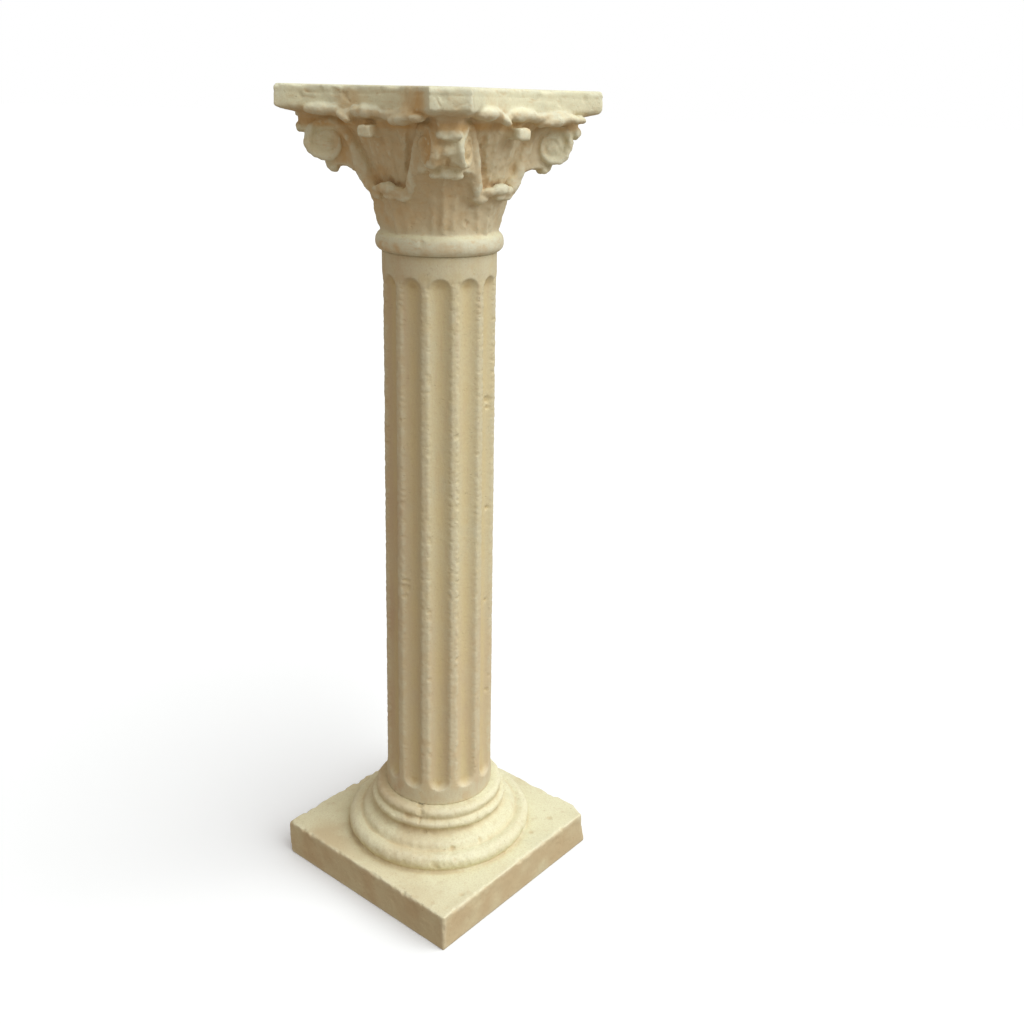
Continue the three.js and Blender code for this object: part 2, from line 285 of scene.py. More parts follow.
def setAttribute(thing, name, values):
    attribute = thing.data.attributes.get(name) or thing.data.attributes.new(name, "FLOAT", "POINT")
    attribute.data.foreach_set("value", np.ascontiguousarray(values, dtype=np.float32))


def attributeValues(thing, name):
    values = np.empty(len(thing.data.vertices), dtype=np.float32)
    thing.data.attributes[name].data.foreach_get("value", values)
    return values


def awayFrom(points, place):
    # distances from a place, all in millimetres
    return np.linalg.norm(points / mm - np.array(place), axis=1)


def scratchedBy(points, scratches):
    # 1 on the line of a scratch and 0 beside it; each has two ends, a width and a strength
    wobble = np.stack([softNoise(points, 0.007, 61 + k) for k in range(3)], 1)
    spots = points / mm + 0.9 * wobble
    near = np.zeros(len(points))
    for start, end, width, strength in scratches:
        a, b = np.array(start), np.array(end)
        t = np.clip(((spots - a) @ (b - a)) / ((b - a) @ (b - a)), 0, 1)
        away = np.linalg.norm(spots - a - t[:, None] * (b - a), axis=1)
        near = np.maximum(near, strength * smoothStep(width, 0.3 * width, away))
    return near


def markWear(thing, fine, coarse):
    # how hollow and how proud each point lies, measured against smoothed copies of the mesh
    thing.data.update()
    points, normals, ends = coordinates(thing), vertexNormals(thing), edgeEnds(thing)
    close = relaxed(points, ends, fine["rounds"])
    wide = relaxed(close, ends, coarse["rounds"])
    near = ((close - points) * normals).sum(1) / (fine["depth"] * mm)
    far = ((wide - points) * normals).sum(1) / (coarse["depth"] * mm)
    hollow = np.clip(np.maximum(near, far), 0, 1)
    edge = np.clip(-near, 0, 1)
    proud = np.clip(-far, 0, 1)
    setAttribute(thing, "hollow", relaxed(hollow[:, None], ends, 2)[:, 0])
    setAttribute(thing, "proud", np.maximum(edge * 0.8, proud))
    setAttribute(thing, "upward", np.clip(relaxed(normals, ends, 2)[:, 2], 0, 1))


# Geometry Nodes

socketKinds = {int: "NodeSocketInt", float: "NodeSocketFloat"}


def newTree(name, inputs):
    # the inputs are names and starting values; each tree also takes a material
    tree = bpy.data.node_groups.new(name, "GeometryNodeTree")
    tree.interface.new_socket("Geometry", in_out="INPUT", socket_type="NodeSocketGeometry")
    for label, value in inputs.items():
        socket = tree.interface.new_socket(label, in_out="INPUT", socket_type=socketKinds[type(value)])
        socket.default_value = value
    tree.interface.new_socket("Material", in_out="INPUT", socket_type="NodeSocketMaterial")
    tree.interface.new_socket("Geometry", in_out="OUTPUT", socket_type="NodeSocketGeometry")
    return tree, tree.nodes.new("NodeGroupInput").outputs


def setInputs(tree, node, values):
    # a socket is linked, and a plain number, vector or colour is set
    for key, value in values.items():
        socket = node.inputs[key]
        if isinstance(value, bpy.types.NodeSocket):
            tree.links.new(value, socket)
        else:
            socket.default_value = (*value, 1) if socket.type == "RGBA" else value


def newNode(tree, kind, inputs=None, **settings):
    node = tree.nodes.new(kind)
    for key, value in settings.items():
        setattr(node, key, value)
    setInputs(tree, node, inputs or {})
    return node


def calc(tree, operation, *values):
    return newNode(tree, "ShaderNodeMath", dict(enumerate(values)), operation=operation).outputs[0]


def finishTree(tree, geometry, material):
    realize = newNode(tree, "GeometryNodeRealizeInstances", {"Geometry": geometry})
    wanted = {"Geometry": realize.outputs["Geometry"], "Material": material}
    paint = newNode(tree, "GeometryNodeSetMaterial", wanted)
    newNode(tree, "NodeGroupOutput", {"Geometry": paint.outputs["Geometry"]})


def runTree(thing, tree, values, name):
    # inputs are set by their identifiers before the object is first evaluated
    modifier = thing.modifiers.new(tree.name, "NODES")
    modifier.node_group = tree
    sockets = [item for item in tree.interface.items_tree if item.item_type == "SOCKET"]
    identifiers = {item.name: item.identifier for item in sockets if item.in_out == "INPUT"}
    for label, value in values.items():
        modifier[identifiers[label]] = value
    return bakedObject(thing, name)


# the light and the camera

cameraFit = {
    "lens": 1099.7 / 1024 * 36,
    "azimuth": 43.5,
    "distance": 1.2915,
    "height": 0.9911,
    "pitch": 0.3602,
    "heading": 0.0704,
    "roll": 0.0258,
    "centre": (511.9, 512.0),
}


def setCamera(fit):
    # azimuth 0 stands on -Y and looks along +Y; heading turns the view right of the axis
    data = bpy.data.cameras.new("photoCamera")
    data.sensor_fit = "HORIZONTAL"
    data.sensor_width = 36
    data.lens = fit["lens"]
    data.clip_start = 0.05
    data.clip_end = 60
    data.dof.use_dof = False
    camera = bpy.data.objects.new("photoCamera", data)
    bpy.context.scene.collection.objects.link(camera)
    a = math.radians(fit["azimuth"])
    place = Vector((math.sin(a) * fit["distance"], -math.cos(a) * fit["distance"], fit["height"]))
    level = Matrix.Rotation(a, 4, "Z") @ Matrix.Rotation(-fit["heading"], 4, "Z")
    tilt = Matrix.Rotation(math.pi / 2 - fit["pitch"], 4, "X")
    roll = Matrix.Rotation(fit["roll"], 4, "Z")
    camera.matrix_world = Matrix.Translation(place) @ level @ tilt @ roll
    bpy.context.scene.camera = camera
    return camera


studioLight = {
    "keyAzimuth": 43.5 + 60,
    "keyElevation": 48,
    "keySpread": 65,
    "keyPower": 2.62,
    "keyColour": (1.0, 1.0, 0.99),
    "fillAbove": (0.50, 0.445, 0.385),
    "fillBelow": (0.38, 0.31, 0.245),
    "floorColour": (0.93, 0.975, 1.0),
    "floorGlow": (0.04, 0.055, 0.09),
    "floorHalf": 60.0,
}


def setStage(light):
    scene = bpy.context.scene
    scene.view_settings.view_transform = "Standard"
    scene.view_settings.look = "None"
    # a warm dim room round the object; seen directly, the room is white
    world = bpy.data.worlds.new("studio")
    world.use_nodes = True
    tree = world.node_tree
    direction = newNode(tree, "ShaderNodeTexCoord").outputs["Generated"]
    split = newNode(tree, "ShaderNodeSeparateXYZ", {0: direction})
    wanted = {"Value": split.outputs["Z"], "From Min": -0.4, "From Max": 0.4}
    upward = newNode(tree, "ShaderNodeMapRange", wanted).outputs["Result"]
    wanted = {0: upward, 6: light["fillBelow"], 7: light["fillAbove"]}
    fill = newNode(tree, "ShaderNodeMix", wanted, data_type="RGBA").outputs[2]
    seen = newNode(tree, "ShaderNodeLightPath").outputs["Is Camera Ray"]
    shown = newNode(tree, "ShaderNodeMix", {0: seen, 6: fill, 7: (1, 1, 1)}, data_type="RGBA")
    setInputs(tree, tree.nodes["Background"], {"Color": shown.outputs[2]})
    scene.world = world

    data = bpy.data.lights.new("keyLight", "SUN")
    data.angle = math.radians(light["keySpread"])
    data.energy = light["keyPower"]
    data.color = light["keyColour"]
    key = bpy.data.objects.new("keyLight", data)
    scene.collection.objects.link(key)
    a, e = math.radians(light["keyAzimuth"]), math.radians(light["keyElevation"])
    away = Vector((math.sin(a) * math.cos(e), -math.cos(a) * math.cos(e), math.sin(e)))
    key.location = away * 3
    key.rotation_euler = away.to_track_quat("Z", "Y").to_euler()

    side = light["floorHalf"]
    corners = [(-side, -side, 0), (side, -side, 0), (side, side, 0), (-side, side, 0)]
    floor = meshObject("floor", corners, [(0, 1, 2, 3)])
    paint = bpy.data.materials.new("paleFloor")
    paint.use_nodes = True
    setInputs(paint.node_tree, paint.node_tree.nodes["Principled BSDF"], {
        "Base Color": light["floorColour"], "Roughness": 0.95, "Specular IOR Level": 0.0,
        "Emission Color": light["floorGlow"], "Emission Strength": 1.0,
    })
    floor.data.materials.append(paint)
    floor.visible_diffuse = False
    floor.visible_glossy = False


setCamera(cameraFit)
setStage(studioLight)
print("camera, light and floor set")


# aged plaster, the finish of all three castings

plasterFinish = {
    "pale": (0.80, 0.82, 0.605),
    "cream": (0.65, 0.61, 0.42),
    "ochre": (0.57, 0.43, 0.21),
    "umber": (0.31, 0.175, 0.075),
    "tan": (0.57, 0.44, 0.29),
    "sage": (0.58, 0.59, 0.45),
    "chalk": (0.80, 0.80, 0.65),
    "roughness": 0.66,
    "blotch": 1.0,
    "stainAndShade": 1.0,
    "streak": (1, 1, 0.6),
    "chalkShare": 0.45,
    "speckle": 1.0,
}


def agedPlaster(name, finish):
    material = bpy.data.materials.new(name)
    material.use_nodes = True
    tree = material.node_tree
    where = newNode(tree, "ShaderNodeTexCoord").outputs["Object"]

    def noise(scale, detail, rough, stretch=(1, 1, 1), shift=0.0):
        wanted = {"Vector": where, "Scale": stretch, "Location": (shift, shift * 0.7, shift * 1.3)}
        place = newNode(tree, "ShaderNodeMapping", wanted).outputs["Vector"]
        wanted = {"Vector": place, "Scale": scale, "Detail": detail, "Roughness": rough}
        return newNode(tree, "ShaderNodeTexNoise", wanted).outputs["Fac"]

    def between(value, low, high, top=1.0):
        wanted = {"Value": value, "From Min": low, "From Max": high, "To Max": top}
        return newNode(tree, "ShaderNodeMapRange", wanted, interpolation_type="SMOOTHSTEP").outputs["Result"]

    product = partial(calc, tree, "MULTIPLY")
    blotch, stainAndShade, speckle = finish["blotch"], finish["stainAndShade"], finish["speckle"]
    # each layer: the attribute that calls for it and its range, then scale, detail, roughness and shift
    # of the noise that breaks it up, the noise's range, how strong the layer is, and its colour
    layers = [
        # paler where the surface looks up, with broad greenish and warm patches
        ("upward", (0.1, 0.8), (11, 4, 0.55), 0, (0.15, 0.55), 1.0, "pale"),
        ("", (), (17, 5, 0.6), 3, (0.48, 0.72), 0.6 * blotch, "sage"),
        ("", (), (13, 5, 0.65), 7, (0.5, 0.75), 0.5 * blotch, "ochre"),
        # dirt and rust on the sheltered faces and in the hollows, with painted shade: the stain is heavier
        # on the side turned from the key light, and the capital's hollows are darkened where they are closed
        # in
        ("stainAndShade", (), (26, 5, 0.6), 9, (0.1, 0.5), 1.0, "tan"),
        ("hollow", (0.05, 0.75), (30, 4, 0.55), 11, (0.2, 0.6), 0.8 * stainAndShade, "ochre"),
        ("hollow", (0.5, 1.0), (55, 4, 0.55), 17, (0.3, 0.6), 0.7 * stainAndShade, "umber"),
        # proud edges are rubbed pale; on the capital the upward faces of the rolled leaf tips are painted
        # pale too, as a highlight
        ("proud", (0.2, 0.9), (60, 4, 0.55), 23, (0.3, 0.6), finish["chalkShare"], "chalk"),
        # specks and dust
        ("", (), (480, 2, 0.5), 27, (0.35, 0.75), 0.3 * speckle, "tan"),
        ("", (), (240, 3, 0.6), 29, (0.64, 0.74), 0.35 * speckle, "umber"),
        ("", (), (80, 5, 0.65, finish["streak"]), 33, (0.52, 0.75), 0.4, "tan"),
    ]
    colour = finish["cream"]
    for label, called, grain, shift, patches, share, paint in layers:
        factor = between(noise(*grain, shift=shift), *patches, share)
        if label:
            amount = newNode(tree, "ShaderNodeAttribute", attribute_name=label).outputs["Fac"]
            factor = product(between(amount, *called) if called else amount, factor)
        wanted = {0: factor, 6: colour, 7: finish[paint]}
        colour = newNode(tree, "ShaderNodeMix", wanted, data_type="RGBA").outputs[2]

    fine, soft = noise(900, 4, 0.6, shift=37), noise(170, 3, 0.5, shift=43)
    pits = between(noise(330, 2, 0.5, shift=41), 0.66, 0.76)
    height = calc(tree, "ADD", product(fine, 0.3), product(soft, 0.7))
    height = calc(tree, "SUBTRACT", height, product(pits, 0.9))
    bump = newNode(tree, "ShaderNodeBump", {"Height": height, "Strength": 0.6, "Distance": 0.001})
    setInputs(tree, tree.nodes["Principled BSDF"], {
        "Base Color": colour, "Normal": bump.outputs["Normal"],
        "Roughness": finish["roughness"], "Specular IOR Level": 0.25,
    })
    return material


# the shaft: a turned drum with round-ended flutes, all from one rule

shaftShape = {
    "foot": 0.1168,
    "length": 0.7098,
    "footRadius": 0.0711,
    "topRadius": 0.0661,
    "flutes": 12,
    "halfWidth": 0.0134,
    "depth": 0.0072,
    "plainFoot": 0.0222,
    "plainTop": 0.0246,
    "turn": -1.2,
    "around": 300,
    "rows": 640,
    "endCrowding": 0.2,
    "most": 192000,
    "arrisReach": (0.0042, 0.0004),
    "quieterBelow": (0.2, 0.45),
    "wear": {"nick": 0.0010, "gouge": 0.0009, "fillet": 0.0002, "wave": 0.0004, "ripple": 0.00012},
    "dents": [
        (5.8, -67.3, 421.9, 7, 2.0), (5.2, -68.5, 411.7, 5, 1.5), (6.6, -66.3, 430.6, 5, 1.3),
        (59.4, 20.9, 655.1, 6, 2.2), (59.4, 21.0, 645.5, 4, 1.6), (60.3, 21.3, 518.5, 4.5, 2.0),
        (59.0, -32.6, 620.8, 4, 1.4), (61.2, 21.5, 394.1, 4, 1.5), (62.8, 24.8, 263.4, 4, 1.4),
        (67.3, -6.4, 594.7, 4, 1.1), (62.0, -31.2, 329.7, 4, 1.1), (0.7, -67.3, 636.6, 3, 0.9),
    ],
}


shaftInputs = {
    "Foot": "foot", "Length": "length", "Foot Radius": "footRadius", "Top Radius": "topRadius",
    "Flutes": "flutes", "Flute Half Width": "halfWidth", "Flute Depth": "depth",
    "Plain Foot": "plainFoot", "Plain Top": "plainTop", "Turn": "turn",
    "Around": "around", "Rows": "rows", "End Crowding": "endCrowding",
}


def shaftTree(values):
    tree, given = newTree("flutedShaft", values)
    do = partial(calc, tree)
    words = ("ADD", "SUBTRACT", "MULTIPLY", "DIVIDE", "MAXIMUM", "SQRT")
    plus, less, times, over, larger, root = (partial(do, word) for word in words)
    halfWidth, depth = given["Flute Half Width"], given["Flute Depth"]

    wanted = {"Radius": 1.0, "Depth": 1.0, "Vertices": given["Around"], "Side Segments": given["Rows"]}
    drum = newNode(tree, "GeometryNodeMeshCylinder", wanted, fill_type="TRIANGLE_FAN")
    place = newNode(tree, "GeometryNodeInputPosition").outputs["Position"]
    x, y, z = newNode(tree, "ShaderNodeSeparateXYZ", {"Vector": place}).outputs

    # rows crowd towards both ends, where the flutes are rounded off
    t = plus(z, 0.5)
    wave = do("SINE", times(t, 2 * math.pi))
    t = less(t, times(times(wave, given["End Crowding"]), 1 / (2 * math.pi)))
    reach = root(plus(times(x, x), times(y, y)))
    taper = times(less(given["Top Radius"], given["Foot Radius"]), t)
    radius = plus(given["Foot Radius"], taper)
    height = times(t, given["Length"])

    # distance from the nearest flute's middle line, which stops short of both ends
    angle = less(do("ARCTAN2", y, x), given["Turn"])
    offset = less(do("FRACT", times(over(angle, 2 * math.pi), given["Flutes"])), 0.5)
    sideways = times(times(over(offset, given["Flutes"]), 2 * math.pi), radius)
    lowest = plus(given["Plain Foot"], halfWidth)
    highest = less(less(given["Length"], given["Plain Top"]), halfWidth)
    past = larger(larger(less(lowest, height), less(height, highest)), 0.0)
    distance2 = plus(times(sideways, sideways), times(past, past))

    # a round scoop of the given width and depth
    scoop = over(plus(times(halfWidth, halfWidth), times(depth, depth)), times(depth, 2.0))
    inside = larger(less(times(scoop, scoop), distance2), 0.0)
    cut = larger(less(root(inside), less(scoop, depth)), 0.0)
    wall = less(radius, times(cut, do("GREATER_THAN", reach, 0.5)))

    wanted = {"X": times(x, wall), "Y": times(y, wall), "Z": plus(height, given["Foot"])}
    moved = newNode(tree, "ShaderNodeCombineXYZ", wanted).outputs["Vector"]
    wanted = {"Geometry": drum.outputs["Mesh"], "Position": moved}
    shift = newNode(tree, "GeometryNodeSetPosition", wanted)
    finishTree(tree, shift.outputs["Geometry"], given["Material"])
    return tree


def makeShaft(shape, material):
    values = {label: shape[key] for label, key in shaftInputs.items()}
    values["Turn"] = math.radians(shape["turn"])
    seedMesh = meshObject("shaftSeed", [(0, 0, 0)], [])
    shaft = runTree(seedMesh, shaftTree(values), {**values, "Material": material}, "flutedShaft")
    points = coordinates(shaft)
    low, high = shape["foot"], shape["foot"] + shape["length"]
    caps = (points[:, 2] < low + 0.0001) | (points[:, 2] > high - 0.0001)
    eased = relaxed(points, edgeEnds(shaft), 3, 0.4)
    eased[caps] = points[caps]
    points = eased
    out = points * np.array([1, 1, 0])
    out /= np.maximum(np.linalg.norm(out, axis=1), 1e-6)[:, None]
    # small nicks bite the arrises at the flutes' edges, fewer towards the foot
    radius = np.linalg.norm(points[:, :2], axis=1)
    along = (points[:, 2] - low) / shape["length"]
    drum = shape["footRadius"] + (shape["topRadius"] - shape["footRadius"]) * along
    angle = np.degrees(np.arctan2(points[:, 1], points[:, 0])) - shape["turn"]
    fromMiddle = np.abs((angle / (360 / shape["flutes"])) % 1 - 0.5)
    arris = np.abs(fromMiddle * 2 * math.pi * drum / shape["flutes"] - shape["halfWidth"])
    fluted = smoothStep(0.0, 0.012, np.minimum(points[:, 2] - low, high - points[:, 2]) - shape["plainFoot"])
    rim = smoothStep(*shape["arrisReach"], arris) * fluted * (radius > drum - 0.004)
    nicks = 0.8 * softNoise(points, 0.0062, 11, 1.7) + 0.5 * softNoise(points, 0.0034, 12, 1.7)
    nicks = smoothStep(-0.2, 0.7, nicks)
    nicks *= 0.6 + 0.6 * smoothStep(-0.4, 0.6, softNoise(points, 0.03, 16, 0.6))
    nicks *= 0.65 + 0.35 * smoothStep(*shape["quieterBelow"], points[:, 2])
    gouges = smoothStep(0.45, 0.85, softNoise(points, 0.013, 13, 1.4))
    onFillet = smoothStep(0.0, 0.002, radius - (drum - 0.0015)) * fluted
    wear = shape["wear"]
    lower = -wear["nick"] * nicks * rim - wear["gouge"] * gouges * rim
    lower += onFillet * wear["fillet"] * softNoise(points, 0.006, 17, 1.7)
    lower += wear["wave"] * roughNoise(points, 0.06, 14) + wear["ripple"] * roughNoise(points, 0.012, 15)
    lower[caps] = 0
    points = points + out * lower[:, None]
    dented = pushDents(points, out, shape["dents"])
    dented[caps] = points[caps]
    setCoordinates(shaft, dented)
    shaft = thinned(shaft, "flutedShaft", shape["most"])
    markWear(shaft, {"rounds": 4, "depth": 0.5}, {"rounds": 60, "depth": 2.2})
    return shaft


# the base: a square plinth with a turned Attic base on it, cast in one

baseShape = {
    "side": 0.293,
    "height": 0.050,
    "cornerBreak": {"alongX": 0.024, "alongY": 0.011, "atFoot": 0.002},
    "footBruise": {"along": 0.005, "up": 0.010},
    "profile": [
        (112.0, 45.0), (112.4, 50.0), (117.0, 51.2), (121.0, 54.0), (123.4, 58.0), (124.0, 61.3),
        (123.2, 65.2), (120.6, 69.0), (116.6, 71.6), (112.0, 72.4), (107.6, 71.8), (105.0, 70.4),
        (104.6, 71.8), (104.4, 74.4), (102.6, 77.4), (99.2, 80.0), (95.4, 81.6), (92.4, 82.6),
        (89.6, 84.2), (87.4, 86.6), (86.2, 89.4), (86.0, 91.4), (87.6, 92.6), (90.0, 94.0),
        (91.2, 96.8), (91.0, 99.8), (89.6, 101.8), (86.0, 102.8), (82.2, 103.0), (80.8, 103.7),
        (82.2, 104.9), (84.4, 107.2), (85.4, 110.0), (85.2, 112.7), (83.6, 115.3), (80.6, 117.1),
        (77.4, 117.5), (60.0, 117.5),
    ],
    "voxel": 0.0016,
    "most": 188000,
    "edgeChips": {"least": 0.0012, "most": 0.0072},
    "uprightChips": {"least": 0.0022, "more": 0.0022},
    "wear": {
        "wave": 0.0006, "ripple": 0.0002, "sideWave": 0.0007, "sideRipple": 0.0003, "turnedWave": 0.0009,
        "turnedRipple": 0.0006, "brokenFace": 0.0014, "crestChip": 0.0024, "scratch": 0.0008,
    },
    "scratches": [
        ((24.7, -66.3, 117.5), (38.1, -74.4, 114.2), 2.2, 0.8),
        ((38.1, -74.4, 114.2), (39.4, -79.6, 102.1), 2.4, 0.9),
        ((50.1, -70.0, 102.1), (68.8, -57.4, 98.1), 1.8, 0.5),
        ((-2.2, -88.1, 102.1), (18.8, -86.6, 102.1), 1.8, 0.5),
    ],
    "dents": [
        (29.7, -67.7, 117.5, 6, 1.8), (37.0, -75.1, 114.1, 6.5, 2.0), (36.9, -73.3, 102.1, 5, 1.5),
        (50.0, -66.0, 104.0, 7, 1.0), (20.0, -80.0, 104.0, 6, 1.0), (43.6, -74.6, 87.3, 5, 1.3),
        (82.6, -62.5, 73.4, 4.5, 1.6), (81.0, -92.9, 62.0, 7, 1.6), (97.1, -72.4, 67.8, 3.5, 0.8),
        (99.8, -26.9, 76.1, 4, 1.2), (118.3, 98.2, 50.0, 5, 0.8), (118.3, 56.1, 50.0, 4, 0.7),
        (132.3, -99.2, 50.0, 5.5, 1.0), (-146.0, -20.3, 50.0, 7, 3.0), (-145.0, 4.6, 50.0, 4, 1.0),
        (30.0, 84.0, 110.0, 6, 1.4), (-80.0, 60.0, 76.0, 6, 1.2), (-116.0, -30.0, 62.0, 7, 1.4),
    ],
}


def planeNormal(a, b, c):
    # the normal of a plane through three points, on the side away from the middle
    normal = (b - a).cross(c - a).normalized()
    return -normal if normal.dot(a) < 0 else normal


def breakPlane(shape):
    # the plane of the broken corner's face
    half, top, broken = shape["side"] / 2, shape["height"], shape["cornerBreak"]
    places = [
        (half - broken["atFoot"], half, 0),
        (half - broken["alongX"], half, top),
        (half, half - broken["alongY"], top),
    ]
    return [Vector(place) for place in places]


def plinthShell(shape):
    # the slab, cut off beyond the broken corner's plane and the bruise's
    half, top, bruise = shape["side"] / 2, shape["height"], shape["footBruise"]
    slab = bmesh.new()
    bmesh.ops.create_cube(slab, size=1.0)
    bmesh.ops.scale(slab, vec=(shape["side"], shape["side"], top), verts=slab.verts)
    bmesh.ops.translate(slab, vec=(0, 0, top / 2), verts=slab.verts)
    along = bruise["along"] - half
    corners = ((-half, -half, bruise["up"]), (-half, along, 0), (along, -half, 0))
    bruisePlane = [Vector(corner) for corner in corners]
    for plane in (breakPlane(shape), bruisePlane):
        whole = slab.verts[:] + slab.edges[:] + slab.faces[:]
        normal = planeNormal(*plane)
        bmesh.ops.bisect_plane(slab, geom=whole, plane_co=plane[0], plane_no=normal, clear_outer=True)
        bmesh.ops.holes_fill(slab, edges=[e for e in slab.edges if e.is_boundary])
    slab.verts.index_update()
    shell = [v.co[:] for v in slab.verts], [tuple(v.index for v in f.verts) for f in slab.faces]
    slab.free()
    return shell


def makeBase(shape):
    half, top = shape["side"] / 2, shape["height"]
    turnedPart = turnedShell(evenPath(np.array(shape["profile"]) * mm, 150), 240)
    block = meshObject("plinthAndBase", *joinShells([plinthShell(shape), turnedPart]))
    outwardFaces(block)
    base = remeshed(block, "plinthAndBase", shape["voxel"])
    points, ends = coordinates(base), edgeEnds(base)
    points = relaxed(points, ends, 3, 0.5)
    turned = smoothStep(0.051, 0.056, points[:, 2])
    points += 0.8 * turned[:, None] * (relaxed(points, ends, 7, 0.5) - points)
    setCoordinates(base, points)

    normals = vertexNormals(base)
    underside = smoothStep(0.0035, 0.0, points[:, 2])

    # ragged upper edges of the plinth: each side is cut back by an uneven chamfer
    chips = shape["edgeChips"]
    fromTop = top - points[:, 2]
    cut, flat = np.zeros_like(points), np.zeros(len(points))
    for axis, sign in ((0, -1), (0, 1), (1, -1), (1, 1)):
        fromSide = half - sign * points[:, axis]
        run = np.stack([points[:, 1 - axis], flat + (sign * 0.37 + axis), flat], 1)
        ragged = 0.4 + 0.45 * softNoise(run, 0.031, 21) + 0.4 * softNoise(run, 0.012, 22)
        ragged += 0.45 * softNoise(run, 0.0055, 19)
        wanted = chips["least"] + (chips["most"] - chips["least"]) * np.clip(ragged, 0, 1.2) ** 2
        short = np.clip(wanted - fromTop - fromSide, 0, None) * (fromTop > -0.002) * (fromSide > -0.002)
        cut[:, 2] -= short / 2
        cut[:, axis] -= sign * short / 2
    points = points + cut
    # softer wear down the upright edges
    chips = shape["uprightChips"]
    for sx, sy in ((-1, -1), (-1, 1), (1, -1), (1, 1)):
        a, b = half - sx * points[:, 0], half - sy * points[:, 1]
        upright = np.stack([points[:, 2], flat + (sx * 2.0 + sy), flat], 1)
        wanted = chips["least"] + chips["more"] * np.clip(softNoise(upright, 0.012, 23), 0, 1)
        short = np.clip(wanted - a - b, 0, None)
        points[:, 0] -= sx * short / 2
        points[:, 1] -= sy * short / 2

    # the face of the broken corner is rough
    wear, plane = shape["wear"], breakPlane(shape)
    fromBreak = np.abs((points - np.array(plane[0])) @ np.array(planeNormal(*plane)))
    bumpy = wear["brokenFace"] * roughNoise(points, 0.011, 24) * smoothStep(0.002, 0.0005, fromBreak)

    sides = smoothStep(0.3, 0.8, np.abs(normals[:, :2]).max(1)) * (points[:, 2] < top + 0.001)
    wavy = wear["wave"] * roughNoise(points, 0.07, 25) + wear["ripple"] * roughNoise(points, 0.012, 26)
    for part, kind, size, seed in (
        (sides, "sideWave", 0.02, 27), (sides, "sideRipple", 0.006, 20),
        (turned, "turnedWave", 0.024, 28), (turned, "turnedRipple", 0.009, 29),
    ):
        wavy += part * wear[kind] * roughNoise(points, size, seed)
    wide = relaxed(points, ends, 12)
    crest = np.clip(((points - wide) * normals).sum(1) / 0.0008, 0, 1) * turned
    chip = smoothStep(0.1, 0.7, 0.8 * softNoise(points, 0.016, 30) + 0.6 * softNoise(points, 0.006, 39))
    wavy -= wear["crestChip"] * chip * crest
    wavy -= wear["scratch"] * scratchedBy(points, shape["scratches"])
    points = points + normals * ((wavy + bumpy) * (1 - underside))[:, None]
    points = pushDents(points, normals, shape["dents"])
    points[:, 2] = np.maximum(points[:, 2], 0)
    setCoordinates(base, points)
    base = thinned(base, "plinthAndBase", shape["most"])
    markWear(base, {"rounds": 4, "depth": 0.4}, {"rounds": 60, "depth": 2.0})
    marks = 0.85 * scratchedBy(coordinates(base), shape["scratches"])
    setAttribute(base, "hollow", np.maximum(attributeValues(base, "hollow"), marks))
    return base


# the capital, all carved in one block: heights are above the ground, before it is turned

